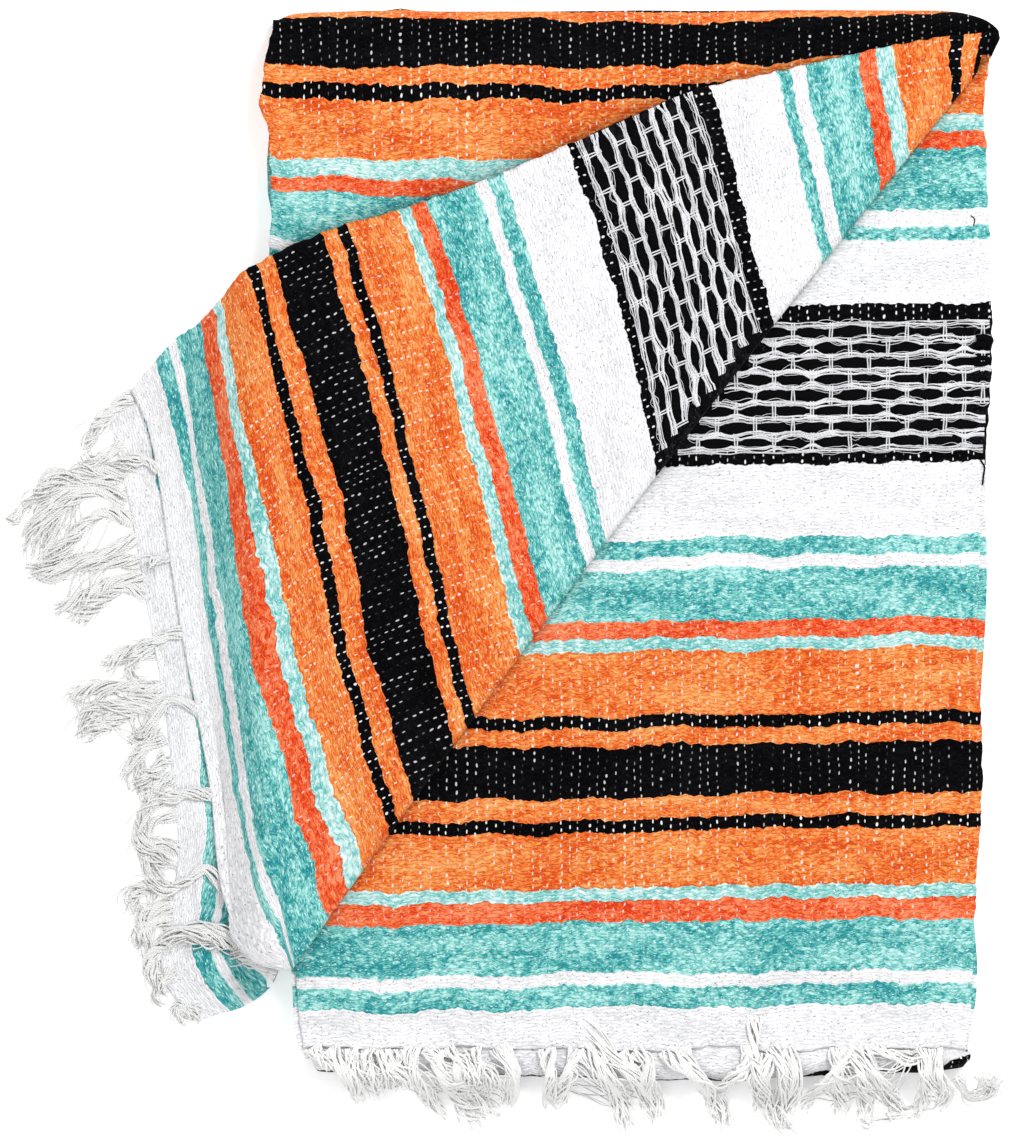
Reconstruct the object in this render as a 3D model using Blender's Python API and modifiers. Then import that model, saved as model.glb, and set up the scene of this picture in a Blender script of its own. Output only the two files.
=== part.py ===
"""A Mexican falsa blanket, folded in thirds both ways and laid flat on a surface.

The lower right corner of its two upper panels is turned back along a slanting crease. Lengths are in millimetres and
are scaled to metres where a mesh is made. The layout has x to the right and y away from the front hem, both measured
from the corner where the front panel's hem meets its selvedge. z is the height above the surface.
"""

import math
import random

import bmesh
import bpy
import numpy as np
from mathutils import Vector

MM = 0.001

# The cloth and how its layers lie
WALL = 2.8
GAP = 0.3
FLAP_GAP = 0.7
HIDDEN_LAYERS = 6
HIDDEN_LEVEL = 4.45
BASE_HEIGHT = HIDDEN_LAYERS * HIDDEN_LEVEL
FRONT_Z = BASE_HEIGHT + GAP
MIDDLE_Z = FRONT_Z + WALL + GAP
TOP_Z = MIDDLE_Z + WALL + GAP
FLAP_Z = TOP_Z + WALL + GAP
FLAP_MID = WALL + FLAP_GAP + WALL / 2

# The stack seen from above
STACK_LENGTH = 643.0
FRONT_HEM = 1.0
SIDES = (  # y, left edge, right edge
    (-20, -421, -9),
    (0, -422, -9),
    (30, -425, -7),
    (80, -429, -5),
    (180, -432, 0),
    (250, -435, -3),
    (360, -439, 1),
    (435, -441, 6),
    (500, -443, 3),
    (575, -445, -1),
    (620, -444, 5),
    (650, -441, 3),
)
FRONT_FOLD = (  # x, y of the second fold, which lies below the hem
    (-430, -14),
    (-300, -17),
    (-170, -20.5),
    (-70, -16),
    (-15, -13),
    (10, -8),
)
CORNER_ROUNDING = 4.0
FOLD_FULLNESS = 0.8
BACK_STEP = 3.0
PANEL_START = 90.0
PANEL_ROWS = 12

# The layered left and right sides of the hidden layers
EDGE_ROUNDING = (  # share of a layer's height, how far the edge draws in
    (0.0, 1.7),
    (0.28, 0.3),
    (0.72, 0.3),
    (0.94, 1.7),
)
LAYER_STEPS = (  # how far each layer stops short at the left, at the right, from the bottom up
    (1.5, 0.4),
    (0.0, 2.0),
    (2.2, 0.2),
    (0.6, 1.6),
    (1.8, 0.5),
    (0.3, 1.2),
)

# The top fold: the outer panel rolls over the ends of the layers inside it
ROLL_RADIUS = 9.85
ROLL_TURN = math.radians(160)
ROLL_STEPS = 6
ROLL_Y = STACK_LENGTH - WALL / 2 - ROLL_RADIUS
ROLL_Z = TOP_Z + WALL / 2 - ROLL_RADIUS
ROLL_CLEARANCE = ROLL_RADIUS - WALL / 2 - GAP

# The crease that the corner is turned back along
CREASE_START = (-426.0, 52.7)
CREASE_END = (3.1, 613.8)
CREASE_BOW = 9.4
CREASE_RADIUS = (FLAP_Z + FLAP_MID - MIDDLE_Z - WALL / 2) / 2
CREASE_INSET = CREASE_RADIUS + WALL / 2 + 1.6
TURN_START = 50.0
TURN_WHOLE = 95.0
TIP_INSET = 14.0
TIP_LIFT = 6.0
TIP_SHARE = 0.32

# The flap's upper edge, where its two panels are joined by a fold
FOLD_EDGE = (  # distance from the hem along the cloth, x, y
    (-22, -544, 394),
    (0, -530, 410),
    (26, -514.5, 428.5),
    (47, -502.5, 444),
    (79, -483, 459),
    (100, -470.5, 468.5),
    (155, -443, 491),
    (187, -413.5, 505),
    (254, -358.5, 524),
    (316, -299.5, 549),
    (370, -247, 570),
    (459, -182, 594.5),
    (507, -126, 605.5),
    (576, -65, 619.5),
    (620, -17.5, 627.5),
    (640, 2, 631),
)
FOLD_RADIUS = (WALL + FLAP_GAP) / 2
FLAP_TIP = (  # distance from the hem, x, y along the rounded lower tip
    (0, -447, 57.5),
    (12, -443, 55),
    (26, -439, 54),
    (38, -434, 53),
    (47, -429, 53),
    (54, -425.5, 54),
)
FLAP_LENGTH = 624.0
FLAP_COLUMNS = 13
STRIPE_BOW = (  # distance from the hem, how far a thread line bows to the right
    (0, 0),
    (26, 0),
    (155, 5),
    (365, 4.5),
    (455, 0),
    (640, 0),
)
HEM_BULGE = (  # share of the hem from the tip to the upper edge, how far it bulges to the right
    (0.0, 0),
    (0.03, -7.4),
    (0.06, -13.6),
    (0.14, -16),
    (0.28, -10.5),
    (0.46, -5.6),
    (0.7, 0),
    (0.86, 4.3),
    (1.0, 0),
)
HEM_BAND = 26.0

# The hem band of the panel below, which shows beyond the flap
UNDER_CORNER = (-488.0, 15.0)
UNDER_SELVEDGE_END = (-438.0, 40.5)
UNDER_COLUMNS = 26
UNDER_END = 0.965
UNDER_TUCK = 12.0
UNDER_BULGE = (  # share of the hem from its corner to the upper edge, how far it bulges to the right
    (0.0, 0),
    (0.04, -13),
    (0.1, -18),
    (0.15, -9),
    (0.21, -4),
    (0.28, 3),
    (0.37, 5.5),
    (0.46, 7.4),
    (0.7, 6),
    (0.85, 4.5),
    (1.0, 0),
)

# How the flap falls from the stack to the surface
OVERHANG = 6.0
FALL_END = 166.0
FALL = (  # y, the distance over which it falls
    (0, 30),
    (50, 30),
    (125, 32),
    (250, 44),
    (400, 48),
    (640, 48),
)

# The fringe
STRIP_WIDTH = 1.6
STRAND_WIDTH = 2.4
STRAND_THICKNESS = 2.2
STRANDS_IN_BUNDLE = 4
STRAND_SEGMENTS = 4
BUNDLE_ROOT = 4.4
BUNDLE_KNOT = 3.0
BUNDLE_TIP = 4.8
TIP_TAPER = 0.45
FRONT_BUNDLES = 16
FRONT_REACH = ((0, 46), (0.4, 56), (0.7, 54), (1, 44))  # share along the hem, length
FLAP_BUNDLES = 8
FLAP_REACH = ((0, 58), (0.5, 54), (1, 40))
UNDER_BUNDLES = 11
UNDER_REACH = ((0, 44), (0.14, 74), (0.3, 62), (0.5, 56), (0.64, 34), (0.8, 34), (1, 26))

COLOURS = {  # linear red, green, blue of each piece's main stripe
    "under_layers": (0.75, 0.15, 0.03),
    "front_panel": (0.85, 0.17, 0.03),
    "middle_panel": (0.07, 0.50, 0.42),
    "top_panel": (0.02, 0.02, 0.02),
    "flap_over": (0.85, 0.20, 0.04),
    "flap_under": (0.07, 0.50, 0.42),
    "flap_under_hem": (0.85, 0.85, 0.88),
    "front_fringe": (0.86, 0.86, 0.88),
    "flap_fringe": (0.86, 0.86, 0.88),
    "flap_under_fringe": (0.86, 0.86, 0.88),
}
CLOTH_ROUGHNESS = 0.92


def smooth(table, at):
    """The other columns of a table at a value of its first one, read along a smooth curve."""
    rows = np.array(table, float)
    x, y = rows[:, 0], rows[:, 1:]
    slope = np.gradient(y, x, axis=0)
    at = min(max(at, x[0]), x[-1])
    i = min(max(int(np.searchsorted(x, at)) - 1, 0), len(x) - 2)
    step = x[i + 1] - x[i]
    u = (at - x[i]) / step
    ends = y[i] * (1 + 2 * u) * (1 - u) ** 2 + y[i + 1] * u * u * (3 - 2 * u)
    bends = step * (slope[i] * u * (1 - u) ** 2 - slope[i + 1] * u * u * (1 - u))
    values = ends + bends
    return float(values[0]) if len(values) == 1 else tuple(float(v) for v in values)


def ease(u):
    u = min(max(u, 0.0), 1.0)
    return u * u * (3 - 2 * u)


def mix(a, b, share):
    return tuple(p + (q - p) * share for p, q in zip(a, b))


def spread(start, end, count):
    return [float(v) for v in np.linspace(start, end, count)]


def drape(x, y):
    """The height of the flap's underside: level on the stack, then down to the surface beyond its left edge."""
    beyond = smooth(SIDES, y)[0] - x - OVERHANG
    return FLAP_Z * (1 - ease(beyond / smooth(FALL, y)))


def drape_point(x, y, height):
    """A point at a height above the flap's underside, measured square to it."""
    step = 0.5
    along_x = (drape(x + step, y) - drape(x - step, y)) / (2 * step)
    along_y = (drape(x, y + step) - drape(x, y - step)) / (2 * step)
    normal = Vector((-along_x, -along_y, 1)).normalized()
    return Vector((x, y, drape(x, y))) + normal * height


def crease(y):
    """The point of the crease at this y, beyond its ends along its line or the right edge."""
    share = (y - CREASE_START[1]) / (CREASE_END[1] - CREASE_START[1])
    if share > 1:
        return (smooth(SIDES, y)[1], y)
    run = CREASE_END[0] - CREASE_START[0]
    rise = CREASE_END[1] - CREASE_START[1]
    across = Vector((-rise, run)).normalized() * CREASE_BOW * 4 * share * (1 - share)
    return (CREASE_START[0] + run * share + across.x, y + across.y * 0.2)


def flap_plan(along, share):
    """The flap seen from above: along is the distance from its hem, share goes from the crease to the upper edge."""
    low = smooth(FLAP_TIP, along) if along < FLAP_TIP[-1][0] else crease(along)
    high = smooth(FOLD_EDGE, along)
    x, y = mix(low, high, share)
    x += smooth(STRIPE_BOW, along) * 4 * share * (1 - share)
    x += smooth(HEM_BULGE, share) * max(0.0, 1 - along / HEM_BAND)
    return x, y


def new_object(name, bm):
    for vertex in bm.verts:
        vertex.co *= MM
    mesh = bpy.data.meshes.new(name)
    bm.to_mesh(mesh)
    bm.free()
    mesh.shade_smooth()
    obj = bpy.data.objects.new(name, mesh)
    bpy.data.collections["folded_blanket"].objects.link(obj)
    material = bpy.data.materials.new(name)
    material.use_nodes = True
    shader = material.node_tree.nodes["Principled BSDF"]
    shader.inputs["Base Color"].default_value = (*COLOURS[name], 1)
    shader.inputs["Roughness"].default_value = CLOTH_ROUGHNESS
    shader.inputs["Metallic"].default_value = 0
    mesh.materials.append(material)
    return obj


def loft(rings):
    """A closed mesh through rings of equal numbers of points, the lowest first."""
    bm = bmesh.new()
    loops = [[bm.verts.new(p) for p in ring] for ring in rings]
    count = len(loops[0])
    for low, high in zip(loops, loops[1:]):
        for i in range(count):
            j = (i + 1) % count
            bm.faces.new((low[i], low[j], high[j], high[i]))
    bm.faces.new(loops[0][::-1])
    bm.faces.new(loops[-1])
    bmesh.ops.recalc_face_normals(bm, faces=bm.faces[:])
    return bm


def wall(name, rows, offset=0.0):
    """A wall of cloth on an open sheet of points. With offset 0 the sheet is its middle, with 1 its lower face."""
    bm = bmesh.new()
    grid = [[bm.verts.new(p) for p in row] for row in rows]
    for low, high in zip(grid, grid[1:]):
        for i in range(len(low) - 1):
            bm.faces.new((low[i], low[i + 1], high[i + 1], high[i]))
    obj = new_object(name, bm)
    solidify = obj.modifiers.new("thickness", "SOLIDIFY")
    solidify.thickness = WALL * MM
    solidify.offset = offset
    solidify.use_even_offset = True
    return obj


def stack_ring(z, left_in, right_in, front_in, back_y):
    """The outline of the hidden layers at one height, drawn in by its own amount on each side."""
    sides = (0.0, 0.02, *spread(0.09, 0.91, 11), 0.98, 1.0)
    ends = (0.0, 0.03, *spread(0.12, 0.88, 8), 0.97, 1.0)

    def front(share):
        x = mix((smooth(SIDES, 0)[0] + left_in,), (smooth(SIDES, 0)[1] - right_in,), share)[0]
        return x, smooth(FRONT_FOLD, x) + front_in

    def side(share, column, inward):
        y = mix((front(column)[1],), (back_y,), share)[0]
        return smooth(SIDES, y)[column] + inward, y

    def back(share):
        x = mix((side(1, 0, left_in)[0],), (side(1, 1, -right_in)[0],), share)[0]
        return x, back_y

    outline = [front(u) for u in ends[:-1]]
    outline += [side(u, 1, -right_in) for u in sides[:-1]]
    outline += [back(1 - u) for u in ends[:-1]]
    outline += [side(1 - u, 0, left_in) for u in sides[:-1]]
    corners = np.cumsum([0, len(ends) - 1, len(sides) - 1, len(ends) - 1])
    centre = Vector((sum(smooth(SIDES, 0)) / 2, STACK_LENGTH / 2))
    ring = []
    for i, point in enumerate(outline):
        flat = Vector(point)
        if i in corners:
            flat += (centre - flat).normalized() * CORNER_ROUNDING
        ring.append((flat.x, flat.y, z))
    return ring


def under_layers():
    """Six layers as one solid: layered at the sides, one round fold at the front, a step under the rolled panel."""
    front_radius = BASE_HEIGHT / 2
    rings = []
    for layer, (left, right) in enumerate(LAYER_STEPS):
        for share, inward in EDGE_ROUNDING:
            z = (layer + share) * HIDDEN_LEVEL
            if layer == HIDDEN_LAYERS - 1 and share == EDGE_ROUNDING[-1][0]:
                z = BASE_HEIGHT
            drop = z - front_radius
            front_in = front_radius - math.sqrt(max(0.0, front_radius**2 - drop**2))
            if z < ROLL_Z - ROLL_RADIUS - WALL / 2:
                back_y = STACK_LENGTH - BACK_STEP - inward
            else:
                reach = math.sqrt(max(0.0, ROLL_CLEARANCE**2 - (z - ROLL_Z) ** 2))
                back_y = ROLL_Y + min(reach, ROLL_CLEARANCE * math.sin(ROLL_TURN)) - GAP
            rings.append(stack_ring(z, left + inward, right + inward, front_in * FOLD_FULLNESS, back_y))
    new_object("under_layers", loft(rings))


def front_panel():
    z = FRONT_Z + WALL / 2
    rows = []
    for y in spread(FRONT_HEM, ROLL_Y, PANEL_ROWS):
        left, right = smooth(SIDES, y)
        rows.append([(x, y, z) for x in spread(left, right, 8)])
    wall("front_panel", rows)


def beside_crease(y):
    """The left edge and the crease, drawn in to leave room for the flap's turn, at one y."""
    left, right = smooth(SIDES, y)
    slant = math.atan2(CREASE_END[1] - CREASE_START[1], CREASE_END[0] - CREASE_START[0])
    return left, min(crease(y)[0] - CREASE_INSET / math.sin(slant), right)


def middle_panel():
    z = MIDDLE_Z + WALL / 2
    rows = []
    for y in spread(PANEL_START, ROLL_Y, PANEL_ROWS):
        rows.append([(x, y, z) for x in spread(*beside_crease(y), 7)])
    wall("middle_panel", rows)


def top_panel():
    """The third panel: flat on the one below, then rolled over the top fold."""
    z = TOP_Z + WALL / 2
    rows = []
    for y in spread(PANEL_START, ROLL_Y, PANEL_ROWS):
        rows.append([(x, y, z) for x in spread(*beside_crease(y), 9)])
    for turn in spread(0, ROLL_TURN, ROLL_STEPS + 1)[1:]:
        y = ROLL_Y + ROLL_RADIUS * math.sin(turn)
        z = ROLL_Z + ROLL_RADIUS * math.cos(turn)
        rows.append([(x, y, z) for x in spread(*beside_crease(ROLL_Y), 9)])
    wall("top_panel", rows)


def flap_rows():
    """Distances from the hem: close together where the flap falls to the surface, wider on the stack."""
    return [0, HEM_BAND / 2, *spread(HEM_BAND, FALL_END, 22), *spread(FALL_END + 34, FLAP_LENGTH, 12)]


def flap_shares(along, first, last, count):
    """Even places between an inset from the crease and one from the upper edge, as shares of the line's length."""
    low = Vector(flap_plan(along, 0))
    high = Vector(flap_plan(along, 1))
    length = (high - low).length
    line = (high - low).normalized()
    crease_line = Vector((CREASE_END[0] - CREASE_START[0], CREASE_END[1] - CREASE_START[1])).normalized()
    slant = max(0.5, abs(line.cross(crease_line)))
    return spread(first / slant / length, 1 - last / length, count), slant, length


def turned(along):
    """How far the crease is a full turn: nothing at the tip, where the flap just ends, and whole further up."""
    return ease((along - TURN_START) / (TURN_WHOLE - TURN_START))


def flap_over_point(along, share):
    lift = TIP_LIFT * (1 - turned(along)) * (1 - ease(share / TIP_SHARE))
    return drape_point(*flap_plan(along, share), FLAP_MID + lift)


def flap_over():
    rows = []
    for along in flap_rows():
        radius = CREASE_RADIUS * turned(along)
        edge = WALL / 2 * turned(along)
        shares, slant, length = flap_shares(along, radius + edge, FOLD_RADIUS + WALL / 2, FLAP_COLUMNS)
        row = []
        for turn in spread(math.pi, 0, 6)[:-1] if turned(along) > 0.02 else ():
            inset = edge + radius * (1 - math.sin(turn))
            x, y = flap_plan(along, inset / slant / length)
            row.append(drape_point(x, y, FLAP_MID) - Vector((0, 0, radius * (1 - math.cos(turn)))))
        if not row:
            row = [flap_over_point(along, shares[0] + (shares[1] - shares[0]) * k / 6) for k in range(5)]
            shares[0] = shares[0] + (shares[1] - shares[0]) * 5 / 6
        for share in shares:
            row.append(flap_over_point(along, share))
        for turn in spread(0, math.pi, 5)[1:]:
            inset = WALL / 2 + FOLD_RADIUS * (1 - math.sin(turn))
            x, y = flap_plan(along, 1 - inset / length)
            row.append(drape_point(x, y, FLAP_MID - FOLD_RADIUS * (1 - math.cos(turn))))
        rows.append(row)
    wall("flap_over", rows)


def flap_under():
    rows = []
    for along in flap_rows()[2:-1]:
        inset = CREASE_INSET + TIP_INSET * (1 - turned(along))
        shares = flap_shares(along, inset, 2 * FOLD_RADIUS + WALL / 2, FLAP_COLUMNS)[0]
        rows.append([drape_point(*flap_plan(along, share), 0) for share in shares])
    wall("flap_under", rows[::-1], offset=1.0)


def under_hem(share):
    x, y = mix(UNDER_CORNER, smooth(FOLD_EDGE, -22), share)
    return x + smooth(UNDER_BULGE, share), y


def flap_under_hem():
    """The band between the lower panel's hem and a line just inside the flap's own hem."""
    line = [Vector(UNDER_SELVEDGE_END)]
    for share in spread(0, UNDER_END, UNDER_COLUMNS - 1):
        line.append(Vector(flap_plan(UNDER_TUCK, share)))
    rows = []
    for share in (0, 0.3, 0.65, 1):
        row = []
        for i, inner in enumerate(line):
            outer = Vector(under_hem(i / (UNDER_COLUMNS - 1)))
            flat = outer.lerp(inner, share)
            row.append(drape_point(flat.x, flat.y, 0))
        rows.append(row)
    wall("flap_under_hem", rows[::-1], offset=1.0)


def fringe(name, edge, support, bundles, reaches, seed):
    """Knotted bundles of warp ends on a narrow strip that follows a hem.

    edge holds the hem's corners seen from above, support gives the height of a strand's middle at a distance out,
    and reaches is a table of the bundles' length along the hem.
    """
    rng = random.Random(seed)
    corners = [Vector(point) for point in edge]
    runs = np.cumsum([0.0] + [(b - a).length for a, b in zip(corners, corners[1:])])
    length = float(runs[-1])

    def frame(run):
        """The point of the hem at a run along it, the direction of the hem, and the way out from it."""
        x = np.interp(run, runs, [c.x for c in corners])
        y = np.interp(run, runs, [c.y for c in corners])
        i = min(int(np.searchsorted(runs, run, side="right")), len(corners) - 1)
        ahead = (corners[i] - corners[i - 1]).normalized()
        behind = ahead
        if abs(run - runs[i - 1]) < 1e-6 and i > 1:
            behind = (corners[i - 1] - corners[i - 2]).normalized()
        tangent = (ahead + behind).normalized()
        return Vector((x, y)), tangent, Vector((tangent.y, -tangent.x))

    strands = []
    for bundle in range(bundles):
        middle = (bundle + 0.5 + rng.uniform(-0.14, 0.14)) / bundles * length
        lean = rng.uniform(-0.28, 0.28)
        reach = smooth(reaches, middle / length) * rng.uniform(0.9, 1.0)
        for strand in range(STRANDS_IN_BUNDLE):
            place = strand - (STRANDS_IN_BUNDLE - 1) / 2
            strands.append((middle + place * BUNDLE_ROOT, place, lean, reach * rng.uniform(0.82, 1.0)))
    half = STRAND_WIDTH / 2
    stops = [(run - half, None) for run, *_ in strands] + [(strand[0] + half, strand) for strand in strands]
    for run in runs:
        if all(abs(run - strand[0]) > half + 0.2 for strand in strands):
            stops.append((float(run), None))
    bm = bmesh.new()
    rings = []
    for run, strand in sorted(stops, key=lambda stop: stop[0]):
        point, tangent, outward = frame(run)
        ring = []
        for out, up in ((0, -1), (STRIP_WIDTH, -1), (STRIP_WIDTH, 1), (0, 1)):
            flat = point + outward * (GAP + out)
            ring.append(bm.verts.new((flat.x, flat.y, support(point, 0) + up * STRAND_THICKNESS / 2)))
        rings.append((ring, strand))
    bm.faces.new(rings[0][0][::-1])
    bm.faces.new(rings[-1][0])
    roots = []
    for (low, _), (high, strand) in zip(rings, rings[1:]):
        for i in range(4):
            j = (i + 1) % 4
            face = bm.faces.new((low[i], low[j], high[j], high[i]))
            if strand and i == 1:
                roots.append((face, strand))
    for face, (run, place, lean, reach) in roots:
        point, tangent, outward = frame(run)
        knot_shift = place * (BUNDLE_KNOT - BUNDLE_ROOT)
        tip_shift = place * (BUNDLE_TIP - BUNDLE_ROOT) + lean * reach
        centre = face.calc_center_median()
        signs = []
        for vertex in face.verts:
            away = vertex.co - centre
            signs.append((math.copysign(1, away.xy.dot(tangent)), math.copysign(1, away.z)))
        for step in range(1, STRAND_SEGMENTS + 1):
            share = step / STRAND_SEGMENTS
            shift = knot_shift * ease(share * 3) + (tip_shift - knot_shift) * ease(share * 1.4 - 0.4)
            out = STRIP_WIDTH + GAP + reach * share
            flat = point + outward * out + tangent * shift
            size = 1 + (TIP_TAPER - 1) * ease(share * 1.5 - 0.5)
            face = bmesh.ops.extrude_discrete_faces(bm, faces=[face])["faces"][0]
            for vertex, (side, up) in zip(face.verts, signs):
                across = tangent * side * half * size
                z = support(point, out) + up * STRAND_THICKNESS / 2 * size
                vertex.co = (flat.x + across.x, flat.y + across.y, z)
    bmesh.ops.recalc_face_normals(bm, faces=bm.faces[:])
    new_object(name, bm)


def front_fringe():
    """From the front hem over the second fold and down to the surface."""
    level = FRONT_Z + WALL / 2
    rest = STRAND_THICKNESS / 2 + 0.5
    left, right = smooth(SIDES, FRONT_HEM)

    def support(point, out):
        return level + (rest - level) * ease((out - 15) / 24)

    edge = [(left + 3, FRONT_HEM), (right - 3, FRONT_HEM)]
    fringe("front_fringe", edge, support, FRONT_BUNDLES, FRONT_REACH, 3)


def flap_fringe():
    """From the flap's hem, over the hem band of the panel below."""
    shares = flap_shares(0, 0, FOLD_RADIUS + WALL / 2, FLAP_COLUMNS)[0]
    edge = [flap_plan(0, share) for share in shares[::-1] if 0.1 < share < 0.95]

    def support(point, out):
        return drape(point.x, point.y) * ease(1 - out / 20) + FLAP_MID

    fringe("flap_fringe", edge, support, FLAP_BUNDLES, FLAP_REACH, 5)


def flap_under_fringe():
    edge = [under_hem(i / (UNDER_COLUMNS - 1)) for i in range(1, UNDER_COLUMNS - 1)]

    def support(point, out):
        return STRAND_THICKNESS / 2 + 0.4

    fringe("flap_under_fringe", edge[::-1], support, UNDER_BUNDLES, UNDER_REACH, 8)


def centre_on_footprint():
    """Moves every piece so that the origin is under the middle of the whole, on the surface it rests on."""
    bpy.context.view_layer.update()
    graph = bpy.context.evaluated_depsgraph_get()
    pieces = bpy.data.collections["folded_blanket"].objects[:]
    corners = []
    for piece in pieces:
        mesh = piece.evaluated_get(graph).to_mesh()
        corners += [vertex.co.copy() for vertex in mesh.vertices]
    low = [min(c[i] for c in corners) for i in range(3)]
    high = [max(c[i] for c in corners) for i in range(3)]
    blanket = bpy.data.objects.new("blanket", None)
    bpy.context.scene.collection.objects.link(blanket)
    blanket.location = (-(low[0] + high[0]) / 2, -(low[1] + high[1]) / 2, -low[2])
    for piece in pieces:
        piece.parent = blanket


def main():
    for obj in bpy.data.objects[:]:
        bpy.data.objects.remove(obj)
    bpy.context.scene.collection.children.link(bpy.data.collections.new("folded_blanket"))
    under_layers()
    front_panel()
    middle_panel()
    top_panel()
    flap_under()
    flap_under_hem()
    flap_over()
    front_fringe()
    flap_fringe()
    flap_under_fringe()
    centre_on_footprint()


main()
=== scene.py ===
"""The looks of the folded falsa blanket: striped cloth, black picks in its middle bands, and fringe.

Lengths are in millimetres in the layout of the solids: x to the right and y away from the front hem, both
from the corner where the front panel's hem meets its selvedge, and z above the surface. Names with PX
hold places in the reference photograph, of 1014 by 1143 pixels, and PIXEL turns them into lengths.
"""

import math

import bpy
import numpy as np
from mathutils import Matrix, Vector


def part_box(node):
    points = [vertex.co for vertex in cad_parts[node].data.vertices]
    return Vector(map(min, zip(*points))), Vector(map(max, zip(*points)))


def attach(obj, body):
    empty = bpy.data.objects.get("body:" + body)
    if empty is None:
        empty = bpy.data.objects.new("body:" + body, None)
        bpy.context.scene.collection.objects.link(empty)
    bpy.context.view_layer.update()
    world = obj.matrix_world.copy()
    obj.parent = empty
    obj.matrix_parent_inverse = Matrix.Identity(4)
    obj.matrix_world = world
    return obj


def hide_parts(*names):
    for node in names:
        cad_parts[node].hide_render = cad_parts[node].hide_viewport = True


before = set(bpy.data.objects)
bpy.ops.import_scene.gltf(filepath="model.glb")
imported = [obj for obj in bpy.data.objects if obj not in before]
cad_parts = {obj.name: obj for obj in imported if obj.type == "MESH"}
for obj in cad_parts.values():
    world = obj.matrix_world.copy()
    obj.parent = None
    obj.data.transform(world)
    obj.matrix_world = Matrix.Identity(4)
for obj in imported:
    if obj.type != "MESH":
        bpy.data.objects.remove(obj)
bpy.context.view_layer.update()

MM = 0.001
PIXEL = 0.62
CORNER_PX = (983, 1050)  # where the layout's origin lies in the photograph
IMAGE_PX = (1014, 1143)

# The cloth and how its layers lie, as in the solids
WALL = 2.8
HALF = WALL / 2
GAP = 0.3
FLAP_GAP = 0.7
HIDDEN_LAYERS = 6
HIDDEN_LEVEL = 4.45
HIDDEN_STEPS = (2.2, 0.6, 2.6, 1.0, 2.2, 0.8)  # how far in the edge of each hidden layer lies
HIDDEN_BULGE = 1.9
HIDDEN_FRONT = (-421.0, -7.0)  # x of the sides at the front and at the back
HIDDEN_BACK = (-441.0, 2.0)
BASE_HEIGHT = HIDDEN_LAYERS * HIDDEN_LEVEL
FRONT_Z = BASE_HEIGHT + GAP
MIDDLE_Z = FRONT_Z + WALL + GAP
TOP_Z = MIDDLE_Z + WALL + GAP
FLAP_Z = TOP_Z + WALL + GAP
FLAP_MID = WALL + FLAP_GAP + HALF
FLAP_TOP = FLAP_MID + HALF

STACK_LENGTH = 643.0
FRONT_HEM = 1.0
SIDES = (  # y, left edge, right edge
    (-20, -421, -9), (0, -422, -9), (30, -425, -7), (80, -429, -5), (180, -432, 0), (250, -435, -3),
    (360, -439, 1), (435, -441, 6), (500, -443, 3), (575, -445, -1), (620, -444, 5), (650, -441, 3),
)
SIDE_BULGES = (  # y, how far the upper part of the left and of the right side lies further right
    (460, 0, 0), (500, 1.5, 2.0), (527, 3.5, 2.8), (552, 3.6, 3.4), (567, 3.0, 3.4), (576, 0.9, 2.2),
    (582, -2.0, 1.0), (589, -2.8, -0.5), (596, -1.2, -1.0), (604, -0.8, -0.5), (613, -0.2, 0),
    (624, 1.8, 0), (633, 3.4, 0),
)
TOP_CORNERS = (  # y, how far in the rounded corners of the outer roll lie at the left and at the right
    (631, 0, 0), (634, 0.6, 2), (637, 2, 5.5), (640, 4.5, 11), (642, 8, 17), (644, 14, 26),
    (645.6, 26, 42),
)
TOP_EDGE_PX = (  # x, y of the top edge
    (260, 12), (292, 11.5), (330, 11), (362, 9.6), (384, 9.8), (400, 7.2), (418, 9.8), (440, 10.4),
    (560, 10.2), (640, 9.2), (700, 9.8), (800, 8.8), (900, 9.2), (1010, 9.6),
)
FRONT_FOLD = (  # x, y of the second fold, which lies below the hem
    (-430, -14), (-300, -17), (-170, -20.5), (-70, -16), (-15, -13), (10, -8),
)
FOLD_REACH = 0.8  # how far the second fold stands out, as a share of its radius
PANEL_START = 90.0
PANEL_ROWS = 12

ROLL_RADIUS = 9.85
ROLL_TURN = math.radians(160)
ROLL_Y = STACK_LENGTH - HALF - ROLL_RADIUS
ROLL_Z = TOP_Z + HALF - ROLL_RADIUS

CREASE_START = (-426.0, 52.7)
CREASE_END = (3.1, 613.8)
CREASE_BOW = 9.4
CREASE_RADIUS = (FLAP_Z + FLAP_MID - MIDDLE_Z - HALF) / 2
CREASE_INSET = CREASE_RADIUS + HALF + 1.6
TURN_START = 50.0
TURN_WHOLE = 95.0
TIP_LIFT = 6.0
TIP_SHARE = 0.32

FOLD_RADIUS = (WALL + FLAP_GAP) / 2
FLAP_TIP = (  # distance from the hem, x, y along the rounded lower tip
    (0, -431.5, 49.5), (12, -429.5, 50), (26, -428.2, 50.8), (38, -427.2, 51.7), (47, -426.4, 52.6),
    (54, -425.6, 54),
)
FLAP_LENGTH = 639.0
HEM_BAND = 26.0

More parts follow.
